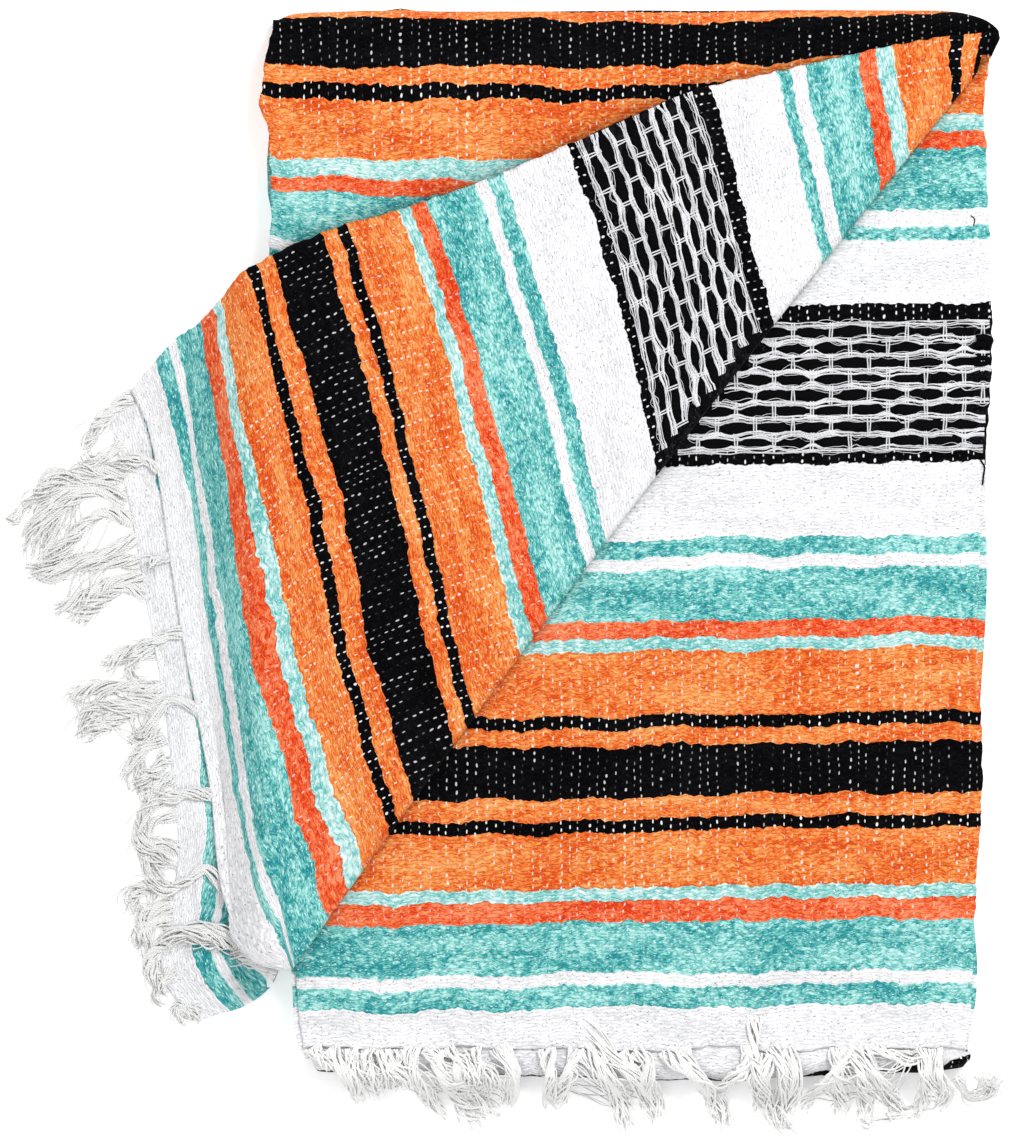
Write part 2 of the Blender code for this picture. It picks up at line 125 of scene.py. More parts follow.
# The flap's thread lines in the photograph, by their distance from its hem
FLAP_EDGE_PX = (  # distance, x, y of their upper ends
    (-35, 106, 414), (0, 128, 388), (42, 153, 359), (76, 173, 337), (128, 205, 320), (161, 226, 300),
    (218, 249, 271), (250, 268, 258), (301, 318, 235), (396, 395, 211), (480, 473, 185),
    (584, 566, 146), (660, 634, 116), (725, 690, 92), (805, 774, 73), (895, 856, 54), (985, 947, 37),
    (1018, 980, 34), (1032, 992, 32),
)
FLAP_CREASE_PX = (  # distance, y at which they meet the crease
    (87, 965), (128, 920), (147, 896), (161, 873), (218, 835), (250, 805), (301, 750), (396, 662),
    (427, 625), (510, 543), (590, 473), (732, 338), (811, 264), (895, 196), (929, 161), (1000, 98),
    (1032, 68),
)
FLAP_BOW_PX = (  # distance, how far they bow to the right at a quarter, half and three quarters of the way up
    (0, 0, 0, 7), (42, -10, -3, 3), (62, -10, -4, 2), (76, -5, 1, 5), (128, -13, -15, -5),
    (161, -15, -14, -8), (218, -8, -4, 0), (250, -4, 5, 7), (301, 0, 5, 6), (427, 3, 6, 7),
    (510, 3, 5, 4), (590, 6, 9, 7), (732, 0, 2, 3), (811, 0, 0, 0), (1032, 0, 0, 0),
)
HEM_BOW_PX = (  # share of the hem from the tip up, how far it bows to the left of a straight line
    (0, 0), (0.014, 13), (0.05, 33), (0.08, 43), (0.12, 46), (0.168, 44), (0.297, 31), (0.433, 23),
    (0.574, 16), (0.711, 7), (0.861, -4), (0.945, -6), (1, 0),
)

# The lining's hem, from its corner to where it meets the flap's upper edge
UNDER_CORNER = (-488.0, 15.0)
UNDER_HEM_END = (-544.0, 394.0)
UNDER_HEM_LENGTH = 430.0
UNDER_SELVEDGE_END = (-439.5, 40.3)
UNDER_ENDS = (0.03, 0.965)
UNDER_TUCK = 12.0
UNDER_BULGE = (  # share of the hem from its corner to the upper edge, how far it bulges to the right
    (0.0, 0), (0.04, -13), (0.1, -18), (0.15, -9), (0.21, -4), (0.28, 3), (0.37, 5.5), (0.46, 7.4),
    (0.7, 6), (0.85, 4.5), (1.0, 0),
)

OVERHANG = 6.0
FALL = (  # y, the distance over which the flap falls to the surface
    (0, 30), (50, 30), (125, 32), (250, 44), (400, 48), (640, 48),
)

# The weave, in pixels of the photograph
COLUMN_PX = 9.3
PICK_PX = 3.65
DOT_PX = (1.05, 2.2)
WARP_COLOUR = (244, 240, 238)
PATTERN_PX = 1100
REPEAT_PX = 765
LAST_STRIPE_PX = 1066
STRIPES = (  # distance from the hem at which a stripe starts, its yarn
    (0, "white"), (42, "teal"), (62, "white"), (76, "teal"), (128, "red"), (147, "pale"),
    (161, "orange"), (218, "narrow black"), (231, "orange"), (250, "black"), (301, "orange"),
    (320, "narrow black"), (332, "orange"), (396, "pale"), (410, "red"), (427, "teal"), (480, "white"),
    (494, "teal"), (510, "white"), (584, "narrow black"), (597, "picks"), (725, "narrow black"),
    (740, "white"), (805, "teal"), (818, "white"), (836, "teal"), (895, "red"), (914, "pale"),
    (929, "orange"), (985, "narrow black"), (1000, "orange"), (1018, "black"),
)
YARNS = {  # each yarn's main colour, its dark and light flecks, its rare bits, and how much the warp shows
    "white": ((237, 237, 239), (222, 222, 225), (249, 249, 250), (150, 150, 154), 0.0),
    "teal": ((104, 192, 187), (38, 142, 148), (178, 231, 227), (234, 247, 245), 0.3),
    "pale": ((164, 218, 214), (100, 184, 180), (216, 240, 238), (246, 251, 251), 0.28),
    "orange": ((242, 127, 55), (222, 82, 26), (249, 168, 98), (250, 188, 162), 0.52),
    "red": ((240, 102, 54), (220, 58, 20), (249, 142, 98), (249, 166, 150), 0.42),
    "black": ((5, 5, 7), (2, 2, 3), (13, 13, 16), (26, 26, 30), 0.44),
    "narrow black": ((5, 5, 7), (2, 2, 3), (13, 13, 16), (26, 26, 30), 0.68),
    "picks": ((9, 9, 11), (3, 3, 4), (30, 30, 33), (60, 60, 64), 0.0),
}
BACK_STRIPES = (  # x of a line across the top panel in the photograph, y where five stripes end on it
    (262, 17, 61, 81, 96.5, 159, 177, 191.5), (330, 20, 68, 83.5, 105, 164, 178.5, 196),
    (420, 21, 67, 86, 104, 163, 182, 200), (540, 21, 67.5, 88, 105, 165, 182, 201),
    (600, 26, 69.5, 90, 105, 165, 182, 201), (705, 28, 65, 84, 101, 160, 176, 194),
    (780, 20, 65, 83, 99, 157, 173, 192), (856, 19, 54, 72, 88, 146, 162, 180),
    (940, 13, 50, 70, 86, 144, 160, 178), (1000, 8, 58, 76, 92, 150, 166, 184),
)
BACK_STRIPE_ENDS_PX = (1066, 1018, 1000, 985, 929, 914, 895)
FRONT_TILT = 0.015
TILT_PIVOT_PX = 700
FOLD_STRIPE_PX = (  # x in the photograph, which stripe place lies outermost on the second fold
    (290, 592), (500, 592), (530, 594), (560, 591), (600, 593), (640, 591), (700, 594), (760, 591),
    (800, 594), (820, 600), (838, 599), (856, 592), (880, 596), (900, 609), (922, 609), (935, 600),
    (950, 606), (985, 608),
)

# The raised black picks of the band between two narrow black stripes
PICK_BAND_PX = (598, 724)
PICK_ROWS = 8
PICK_PERIOD_PX = 38
PICK_SIZE_PX = (32, 11.4)
PICK_GAP_PX = 3.5  # half the height of the dark gap between two picks of a row
PICK_HEIGHT = 1.5
STRANDS_BETWEEN = 4
STRAY_FIBRES = 3
CROSSING_RADIUS = 0.42

STRAND_STEP_PX = 2.8
CROSSING_PX = (-1.2, 1.4)  # the two threads that cross a gap, from its middle

# Fringe and its levels above the surface
TANGLE_REACH_PX = 30
TANGLE_YARNS = 11
FOLD_TOP = 28.2
FLOOR_TOP = 0.4

# Grids and small relief
CELL = 1.55
FLAP_CELL = 1.72
FLAP_COLUMNS = 184
LINING_CELL = 4.0
HEM_CELL = 1.3
RIM_STEPS = 6
LATTICE = np.random.default_rng(11).uniform(-1, 1, (256, 256))


def smooth(table, at):
    """The other columns of a table at values of its first one, read along a smooth curve."""
    rows = np.array(table, float)
    x, y = rows[:, 0], rows[:, 1:]
    slope = np.gradient(y, x, axis=0)
    at = np.clip(np.asarray(at, float), x[0], x[-1])
    i = np.clip(np.searchsorted(x, at) - 1, 0, len(x) - 2)
    step = (x[i + 1] - x[i])[..., None]
    u = (at - x[i])[..., None] / step
    ends = y[i] * (1 + 2 * u) * (1 - u) ** 2 + y[i + 1] * u * u * (3 - 2 * u)
    values = ends + step * (slope[i] * u * (1 - u) ** 2 - slope[i + 1] * u * u * (1 - u))
    return values[..., 0] if y.shape[1] == 1 else np.moveaxis(values, -1, 0)


def sides(y):
    """The left and right edges of the stack."""
    left, right = smooth(SIDES, y)
    left_bulge, right_bulge = smooth(SIDE_BULGES, y)
    return left + left_bulge, right + right_bulge


def ease(u):
    u = np.clip(u, 0.0, 1.0)
    return u * u * (3 - 2 * u)


def grain(x, y, seed=0):
    """Smooth noise from -1 to 1 with a feature size of one."""
    i, j = np.floor(x).astype(int), np.floor(y).astype(int)
    u, v = x - i, y - j
    u, v = u * u * (3 - 2 * u), v * v * (3 - 2 * v)
    i, j = i + 37 * seed, j + 61 * seed
    low = LATTICE[i % 256, j % 256] * (1 - u) + LATTICE[(i + 1) % 256, j % 256] * u
    high = LATTICE[i % 256, (j + 1) % 256] * (1 - u) + LATTICE[(i + 1) % 256, (j + 1) % 256] * u
    return low * (1 - v) + high * v


def wave(places, length, seed, row=0):
    """Smooth noise from -1 to 1 along a line, with its feature size."""
    return grain(places / length, places * 0 + row, seed)


def grid(*values):
    """Points or cloth places from values that each fill the grid, a row, a column or all of it alike."""
    return np.stack(np.broadcast_arrays(*values), -1)


def from_photo(x, y):
    """A place in the photograph as millimetres of the layout."""
    return (np.asarray(x, float) - CORNER_PX[0]) * PIXEL, (CORNER_PX[1] - np.asarray(y, float)) * PIXEL


def layout_offset():
    """What turns the layout's millimetres into the frame's metres: the solid front panel shows it."""
    low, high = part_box("front_panel")
    left, right = smooth(SIDES, np.linspace(FRONT_HEM, ROLL_Y, PANEL_ROWS))
    x = (low.x + high.x) / 2 - (left.min() + right.max()) / 2 * MM
    return np.array((x, low.y - FRONT_HEM * MM, 0.0))


OFFSET = layout_offset()


# Shapes


def drape(x, y):
    """The height of the flap's underside: level on the stack, then down to the surface at its left."""
    beyond = smooth(SIDES, y)[0] - x - OVERHANG
    return FLAP_Z * (1 - ease(beyond / smooth(FALL, y)))


def drape_point(x, y, height):
    """Points at a height above the flap's underside, measured square to it."""
    step = 0.5
    along_x = (drape(x + step, y) - drape(x - step, y)) / (2 * step)
    along_y = (drape(x, y + step) - drape(x, y - step)) / (2 * step)
    size = np.sqrt(along_x**2 + along_y**2 + 1)
    return grid(x - along_x / size * height, y - along_y / size * height, drape(x, y) + height / size)


def crease(y):
    """The point of the crease at this y, beyond its end along the right edge."""
    y = np.asarray(y, float)
    share = (y - CREASE_START[1]) / (CREASE_END[1] - CREASE_START[1])
    run, rise = CREASE_END[0] - CREASE_START[0], CREASE_END[1] - CREASE_START[1]
    bow = CREASE_BOW * 4 * share * (1 - share) / math.hypot(run, rise)
    x = CREASE_START[0] + run * share - rise * bow
    over = share > 1
    return np.where(over, smooth(SIDES, y)[1], x), np.where(over, y, y + run * bow * 0.2)


def flap_plan(along, share):
    """The flap seen from above, at a distance from its hem and a share of the way from the crease up."""
    along, share = np.broadcast_arrays(np.asarray(along, float), np.asarray(share, float))
    tip_x, tip_y = smooth(FLAP_TIP, along)
    line_x, line_y = crease(from_photo(0, smooth(FLAP_CREASE_PX, along / PIXEL))[1])
    at_tip = along < FLAP_TIP[-1][0]
    low_x, low_y = np.where(at_tip, tip_x, line_x), np.where(at_tip, tip_y, line_y)
    high_x, high_y = from_photo(*smooth(FLAP_EDGE_PX, along / PIXEL))
    straight = low_x + (high_x - low_x) * share
    x = straight
    for k, bow in enumerate(smooth(FLAP_BOW_PX, along / PIXEL)):
        hump = [(place / 4, float(place == k + 1)) for place in range(5)]
        x = x + bow * PIXEL * smooth(hump, share)
    at_hem = np.clip(1 - along / HEM_BAND, 0.0, 1.0)
    x = x * (1 - at_hem) + (straight - smooth(HEM_BOW_PX, share) * PIXEL) * at_hem
    return x, low_y + (high_y - low_y) * share


def flap_line(along):
    """The length of the flap's thread lines and the slant at which they meet the crease."""
    low = np.array(flap_plan(along, 0.0))
    high = np.array(flap_plan(along, 1.0))
    length = np.hypot(*(high - low))
    line = (high - low) / length
    run, rise = CREASE_END[0] - CREASE_START[0], CREASE_END[1] - CREASE_START[1]
    size = math.hypot(run, rise)
    return length, np.maximum(0.5, np.abs(line[0] * rise / size - line[1] * run / size))


def turned(along):
    """How far the crease is a full turn: not at all at the tip, where the flap ends, whole further up."""
    return ease((along - TURN_START) / (TURN_WHOLE - TURN_START))


def under_hem(share):
    """The lining's hem, from its corner up."""
    x, y = (low + (high - low) * share for low, high in zip(UNDER_CORNER, UNDER_HEM_END))
    return x + smooth(UNDER_BULGE, share), y


def puckers(s, t, seed):
    """The cloth's small unevenness: s runs along the weft and t along the warp."""
    soft = 0.34 * grain(s / 34, t / 15, seed) + 0.22 * grain(s / 13, t / 6, seed + 1)
    return soft + 0.13 * grain(s / 7, t / 2.6, seed + 2)


def wrinkles(x, y, table):
    """Soft troughs and ridges: the two ends of each in the photograph, its half width and its height."""
    total = np.zeros(np.shape(x))
    for start_x, start_y, end_x, end_y, width, height in table:
        ax, ay = from_photo(start_x, start_y)
        bx, by = from_photo(end_x, end_y)
        length = math.hypot(bx - ax, by - ay)
        u = ((x - ax) * (bx - ax) + (y - ay) * (by - ay)) / length**2
        away = np.abs((x - ax) * (by - ay) - (y - ay) * (bx - ax)) / length
        ends = ease(1.2 - 2.4 * np.abs(u - 0.5)) * (np.abs(u - 0.5) < 0.5)
        total += height * ends * np.exp(-((away / width) ** 2))
    return total


FRONT_WRINKLES = (
    (765, 1062, 752, 985, 5, -1.5), (700, 1060, 692, 1006, 5, 1.3), (640, 1060, 646, 1000, 6, -1.1),
    (590, 1060, 585, 1012, 5, 1.2), (520, 1060, 528, 1008, 5, -1.2), (460, 1060, 452, 1002, 6, 1.2),
    (400, 1060, 404, 1000, 5, -1.1), (850, 1060, 842, 1002, 6, 1.3), (905, 1060, 912, 1010, 5, -1.2),
    (955, 1060, 948, 990, 5, 1.2), (985, 960, 905, 900, 9, 1.4), (988, 560, 900, 530, 10, -1.3),
    (600, 575, 760, 560, 9, 1.0), (560, 640, 600, 700, 8, -0.9), (985, 440, 930, 300, 9, 1.3),
    (480, 760, 600, 745, 8, 0.9),
)
FLAP_WRINKLES = (
    (180, 470, 240, 440, 6, 1.5), (170, 556, 232, 540, 6, -1.4), (190, 640, 246, 622, 7, 1.4),
    (200, 720, 262, 700, 6, -1.4), (215, 800, 270, 776, 6, 1.3), (225, 880, 284, 850, 6, -1.3),
    (160, 400, 215, 380, 6, 1.2), (250, 270, 330, 420, 12, 1.3), (400, 230, 470, 420, 12, -1.1),
    (640, 130, 700, 300, 11, 1.1), (300, 560, 350, 780, 10, -1.2), (860, 70, 900, 180, 7, 1.4),
    (820, 90, 850, 230, 7, -1.1), (480, 640, 560, 560, 9, 1.0),
)
TOP_WRINKLES = (
    (268, 110, 420, 128, 9, 1.2), (300, 50, 300, 190, 8, -0.9), (560, 60, 700, 72, 9, 1.2),
    (430, 100, 520, 172, 9, -1.0), (820, 20, 950, 34, 6, 1.0),
)


def rim(count):
    """A rounded edge of the cloth, from its lower to its upper face: how far in and how high it lies."""
    turn = np.linspace(math.pi, 0, count)
    return HALF * (1 - np.sin(turn)), HALF * np.cos(turn)


def across(length, cell):
    """Shares of a line with a rounded edge at both ends, and each one's height above the cloth's middle."""
    inset, height = rim(RIM_STEPS)
    inner = np.linspace(HALF, length - HALF, max(3, int(length / cell)))[1:-1]
    places = np.concatenate([inset, inner, length - inset[::-1]])
    return places / length, np.concatenate([height, np.full(len(inner), HALF), height[::-1]])


def flat_panel(ys, y_height, left, right, level, cell, seed, wrinkle_table, t_of):
    """A patch of flat cloth between two sides, with rounded edges, its relief and its place in the weave."""
    share, x_height = across(float(np.mean(right - left)), cell)
    edge_wave = 0.5 * wave(ys, 5.5, seed, seed) + 0.35 * wave(ys, 2.2, seed + 5)
    x = (left + edge_wave)[:, None] * (1 - share) + (right - edge_wave)[:, None] * share
    y = ys[:, None]
    height = np.minimum(x_height, y_height[:, None])
    relief = (puckers(x, y, seed) + wrinkles(x, y, wrinkle_table)) * ease((height + HALF) / WALL)
    return grid(x, y, level + HALF + height + relief), grid(x, t_of(x, y))


def coarse_panel(start, cell, bounds, left_in, level, seed, t_of):
    """A patch of flat cloth with little relief, for where other layers cover it."""
    ys, y_height = hem_rows(start, ROLL_Y, cell)
    left, right = bounds(ys)
    return flat_panel(ys, y_height, left + left_in, right, level, cell, seed, (), t_of)


def front_rise(x):
    """The front panel's stripes rise a little to the right."""
    return FRONT_TILT * (x + (CORNER_PX[0] - TILT_PIVOT_PX) * PIXEL)


def front_t(x, y):
    return y - front_rise(x) + 0.8 * grain(x / 60, y / 90, 4)


def back_t(x, y):
    """The top panel's distance from its hem, from the places where its stripes end in the photograph."""
    x_px = x / PIXEL + CORNER_PX[0]
    y_px = CORNER_PX[1] - y / PIXEL
    table = np.array(BACK_STRIPES, float)
    ends = np.stack([np.interp(x_px, table[:, 0], table[:, k]) for k in range(1, table.shape[1])], -1)
    t = BACK_STRIPE_ENDS_PX[0] + (ends[..., 0] - y_px) * 1.1
    for k in range(1, len(BACK_STRIPE_ENDS_PX)):
        low, high = BACK_STRIPE_ENDS_PX[k - 1], BACK_STRIPE_ENDS_PX[k]
        part = low + (high - low) * (y_px - ends[..., k - 1]) / (ends[..., k] - ends[..., k - 1])
        t = np.where(y_px > ends[..., k - 1], part, t)
    return t * PIXEL


def mesh_object(name, patches, material, painted_shade_of=None):
    """One piece from patches of (points, cloth places, which cells to keep, turned over or not).

    painted_shade_of gives how much painted shade darkens each place where two layers meet, from 0 to 1.
    """
    all_points, all_cloth, all_quads, base = [], [], [], 0
    for points, cloth, keep, flip in patches:
        rows, columns = points.shape[:2]
        index = base + np.arange(rows * columns).reshape(rows, columns)
        quads = np.stack([index[:-1, :-1], index[:-1, 1:], index[1:, 1:], index[1:, :-1]], -1)
        quads = quads.reshape(-1, 4) if keep is None else quads[keep]
        all_quads.append(quads[:, ::-1] if flip else quads)
        all_points.append(points.reshape(-1, 3))
        all_cloth.append(cloth.reshape(-1, 2))
        base += rows * columns
    quads = np.concatenate(all_quads)
    used, quads = np.unique(quads, return_inverse=True)
    quads = quads.reshape(-1, 4).astype(np.int32)
    places = np.concatenate(all_points)[used]
    points = places * MM + OFFSET
    cloth = np.concatenate(all_cloth)[used] * MM
    mesh = bpy.data.meshes.new(name)
    mesh.vertices.add(len(points))
    mesh.vertices.foreach_set("co", points.astype(np.float32).ravel())
    mesh.loops.add(quads.size)
    mesh.loops.foreach_set("vertex_index", quads.ravel())
    mesh.polygons.add(len(quads))
    mesh.polygons.foreach_set("loop_start", np.arange(0, quads.size, 4, dtype=np.int32))
    mesh.update(calc_edges=True)
    layer = mesh.uv_layers.new(name="cloth")
    layer.data.foreach_set("uv", cloth[quads.ravel()].astype(np.float32).ravel())
    # Painted shade where two layers meet, which the cloth material uses to darken its colour
    if painted_shade_of:
        painted_shade = painted_shade_of(places[:, 0], places[:, 1])
        mesh.attributes.new("painted_shade", "FLOAT", "POINT").data.foreach_set("value", painted_shade.astype(np.float32))
    mesh.shade_smooth()
    mesh.validate()
    mesh.materials.append(material)
    piece = bpy.data.objects.new(name, mesh)
    bpy.context.scene.collection.objects.link(piece)
    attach(piece, "root")
    return piece


def hem_rows(start, end, cell):
    """Places of rows between two ends with a rounded edge at each."""
    share, height = across(end - start, cell)
    return start + share * (end - start), height


def crease_painted_shade(x, y):
    """Painted shade beside the crease, on the front panel."""
    return 0.55 * np.exp(-np.maximum(0.0, x - crease(y)[0] - 1.0) / 3.0)


def past_flap(x, y):
    """How far a place lies beyond the flap's upper edge."""
    edge_x, edge_y = from_photo(*np.array(FLAP_EDGE_PX, float)[:, 1:].T)
    return y - np.interp(x, edge_x, edge_y)


def flap_edge_painted_shade(x, y):
    """Painted shadow along the flap's upper edge, on the top panel."""
    return 0.95 * np.exp(-np.maximum(0.0, past_flap(x, y)) / 7.0)


def cell_middles(points):
    """The x and y of the middles of a grid's cells."""
    middles = (points[:-1, :-1] + points[1:, 1:]) / 2
    return middles[..., 0], middles[..., 1]


# Materials


class Field:
    """A quantity that nodes work out over the surface. Arithmetic on it adds math nodes."""

    def __init__(self, nodes, socket):
        self.nodes = nodes
        self.socket = socket

    def __add__(self, other):
        return self.nodes.math("ADD", self, other)

    def __sub__(self, other):
        return self.nodes.math("SUBTRACT", self, other)

    def __mul__(self, other):
        return self.nodes.math("MULTIPLY", self, other)

    def __truediv__(self, other):
        return self.nodes.math("DIVIDE", self, other)

    def __pow__(self, other):
        return self.nodes.math("POWER", self, other)


class Nodes:
    """A new material, and its nodes in few words."""

    def __init__(self, name):
        self.material = bpy.data.materials.new(name)
        self.material.use_nodes = True
        self.tree = self.material.node_tree
        self.shader = self.tree.nodes["Principled BSDF"]

    def put(self, node, inputs):
        """Links fields to a node's inputs, and sets plain values there."""
        for key, value in inputs.items():
            if isinstance(value, Field):
                self.tree.links.new(value.socket, node.inputs[key])
            else:
                node.inputs[key].default_value = value

    def node(self, kind, inputs, **settings):
        node = self.tree.nodes.new(kind)
        for key, value in settings.items():
            setattr(node, key, value)
        self.put(node, inputs)
        return node

    def add(self, kind, inputs, output=0, **settings):
        return Field(self, self.node(kind, inputs, **settings).outputs[output])

    def math(self, operation, *values):
        return self.add("ShaderNodeMath", dict(enumerate(values)), operation=operation)

    def noise(self, x, x_size, y, y_size, detail=1.0):
        """Smooth noise whose features have a size along x and one along y."""
        place = self.add("ShaderNodeCombineXYZ", {"X": x * (1 / x_size), "Y": y * (1 / y_size)})
        inputs = {"Vector": place, "Scale": 1.0, "Detail": detail}
        return self.add("ShaderNodeTexNoise", inputs, noise_dimensions="2D")

    def random(self, x, y):
        place = self.add("ShaderNodeCombineXYZ", {"X": x, "Y": y})
        return self.add("ShaderNodeTexWhiteNoise", {"Vector": place}, "Value", noise_dimensions="2D")

    def between(self, value, low, high, start=0.0, end=1.0):
        inputs = {"Value": value, "From Min": low, "From Max": high, "To Min": start, "To Max": end}
        return self.add("ShaderNodeMapRange", inputs, interpolation_type="SMOOTHSTEP")

    def mix(self, factor, a, b, blend="MIX"):
        return self.add("ShaderNodeMix", {0: factor, 6: a, 7: b}, 2, data_type="RGBA", blend_type=blend)

    def bump(self, height, strength, distance):
        return self.add("ShaderNodeBump", {"Height": height, "Strength": strength, "Distance": distance})

    def ramp(self, value, stops):
        node = self.node("ShaderNodeValToRGB", {"Fac": value})
        ramp = node.color_ramp
        ramp.interpolation = "CONSTANT"
        first, last = ramp.elements
        first.position, first.color = stops[0]
        last.position, last.color = stops[-1]
        for place, colour in stops[1:-1]:
            ramp.elements.new(place).color = colour
        return Field(self, node.outputs[0])


def linear(colour, alpha=1.0):
    """A colour of 0 to 255 as linear light."""
    shares = [c / 255 for c in colour]
    return (*[c / 12.92 if c <= 0.04045 else ((c + 0.055) / 1.055) ** 2.4 for c in shares], alpha)


def cloth_places(nodes):
    """The weft and warp places in pixels, from the piece's cloth map."""
    place = nodes.add("ShaderNodeUVMap", {}, uv_map="cloth")
    parts = nodes.node("ShaderNodeSeparateXYZ", {"Vector": place})
    return [Field(nodes, parts.outputs[k]) * (1 / (MM * PIXEL)) for k in range(2)]


def stripe_ramp(nodes, t, column):
    stops = []
    for start, yarn in STRIPES:
        value = YARNS[yarn][column]
        stops.append((start / PATTERN_PX, (value, value, value, 1) if column == 4 else linear(value)))
    return nodes.ramp(t / PATTERN_PX, stops)


def cloth_material():
    nodes = Nodes("striped falsa cloth")
    s, warp = cloth_places(nodes)

    # Stripe edges wander as the weft bends round the warp threads
    slow = nodes.noise(s, 48, warp, 150)
    fast = nodes.noise(s, 8, warp, 24)
    wander = (fast - 0.5) * 5.0 + ((slow - 0.5) * 10.0 + warp)
    t = nodes.math("GREATER_THAN", wander, LAST_STRIPE_PX) * -REPEAT_PX + wander
    main, dark, light, bits, dots = [stripe_ramp(nodes, t, k) for k in range(5)]

    # Picks lie like bricks, each over every other warp thread
    pick = wander / PICK_PX
    row = nodes.math("FLOOR", pick)
    brick = s / (2 * COLUMN_PX) + nodes.math("FLOORED_MODULO", row, 2.0) * 0.5
    lengthwise = nodes.math("COSINE", brick * (2 * math.pi))
    crosswise = nodes.math("SINE", nodes.math("FRACT", pick) * math.pi)
    height = crosswise**0.6 * (lengthwise * 0.3 + 0.7)

    # Heathered yarn: flecks run along each pick, with rare bits, thick places and large clouds
    fleck = nodes.noise(s, 8.5, row, 1 / 3.17, 2.0)
    fine = nodes.noise(s, 4.2, wander, 1.1, 2.0)
    rare = nodes.noise(s, 3.4, wander, 1.6)
    slub = nodes.noise(s, 30, wander, 6.5)
    cloud = nodes.noise(s, 120, warp, 26, 2.0)
    blend = (cloud - 0.5) * 0.35 + (fleck * 0.5 + fine * 0.5)
    colour = nodes.mix(nodes.between(blend, 0.5, 0.38), main, dark)
    colour = nodes.mix(nodes.between(blend, 0.51, 0.62), colour, light)
    colour = nodes.mix(nodes.between(rare, 0.67, 0.77), colour, bits)
    colour = nodes.mix(nodes.between(slub, 0.7, 0.8, 0.0, 0.6), colour, light)

    # White warp dots, alternate columns half a step apart, each dot and each column of its own size
    jitter = nodes.noise(s, 24, warp, 220)
    column_place = (jitter - 0.5) * 1.4 + s / COLUMN_PX
    column = nodes.math("FLOOR", column_place)
    step = wander / (2 * PICK_PX) + nodes.math("FLOORED_MODULO", column, 2.0) * 0.5
    step_number = nodes.math("FLOOR", step)
    size = (nodes.random(column, step_number) * 0.85 + 0.22) * dots
    size = nodes.math("MINIMUM", size * (nodes.random(column, 7.0) * 0.55 + 0.72), 0.56)
    middle = nodes.random(column + 50.0, step_number) * 0.2 + 0.4
    off_x = (nodes.math("FRACT", column_place) - middle) * (COLUMN_PX / DOT_PX[0])
    off_y = (nodes.math("FRACT", step) - 0.5) * (2 * PICK_PX / DOT_PX[1])
    away = off_x**2.0 + off_y**2.0
    dot = nodes.between(away - size * 1.25, 0.25, -0.25) * nodes.between(size, 0.12, 0.45)
    plain = nodes.math("MINIMUM", dots * 1.45, 0.9)
    colour = nodes.mix(dot * plain, colour, linear(WARP_COLOUR))

    # Painted shade: the colour is darker between the picks and where two layers meet
    shade = nodes.math("MAXIMUM", (height - 0.85) * (dots * 0.42 + 0.22) + 1.0, dot)
    painted_shade = nodes.add("ShaderNodeAttribute", {}, "Fac", attribute_name="painted_shade")
    shade = shade * (painted_shade * -0.5 + 1.0)
    grey = nodes.add("ShaderNodeCombineXYZ", {"X": shade, "Y": shade, "Z": shade})

    relief = fine * 0.5 + (height * 0.8 + dot * 0.5)
    nodes.put(nodes.shader, {
        "Base Color": nodes.mix(1.0, colour, grey, "MULTIPLY"),
        "Normal": nodes.bump(relief, 0.75, 0.0006),
        "Roughness": nodes.between(fine, 0.3, 0.7, 0.82, 0.96),
        "Sheen Weight": 0.015,
        "Sheen Roughness": 0.5,
        "Specular IOR Level": 0.04,
    })
    return nodes.material


def yarn_material(name, main, dark, sheen, twist_px=3.0):
    """Loosely spun yarn: fibres wind round it, with painted shade in the grooves between them."""
    nodes = Nodes(name)
    round_it, along = cloth_places(nodes)
    turn = along / twist_px + round_it * 0.35
    ply = nodes.math("ABSOLUTE", nodes.math("SINE", turn * math.pi))
    fibre = nodes.noise(round_it, 1.1, along, 5.0, 2.0)
    mixed = ply * 0.6 + fibre * 0.4
    # The dark colour, mixed in along the grooves between the plies, is painted shade
    nodes.put(nodes.shader, {
        "Base Color": nodes.mix(nodes.between(mixed, 0.1, 0.62), linear(dark), linear(main)),
        "Normal": nodes.bump(mixed, 0.6, 0.0004),
        "Roughness": nodes.between(fibre, 0.3, 0.7, 0.8, 0.95),
        "Sheen Weight": sheen,
        "Specular IOR Level": 0.04,
    })
    return nodes.material


CLOTH = cloth_material()
FRONT_FRINGE_YARN = yarn_material("white fringe yarn", (251, 251, 250), (204, 204, 205), 0.08)
# The same white fringe yarn, made darker as painted shade, for the flap's and the lining's fringe
SHADED_FRINGE_YARN = yarn_material("fringe yarn darkened as painted shade", (240, 240, 239), (166, 166, 167), 0.03)
WEFT_STRAND = yarn_material("white weft strand", (240, 240, 243), (150, 150, 158), 0.03)
BLACK_YARN = yarn_material("black yarn", (9, 9, 11), (2, 2, 3), 0.0, 5.0)


# Cloth pieces


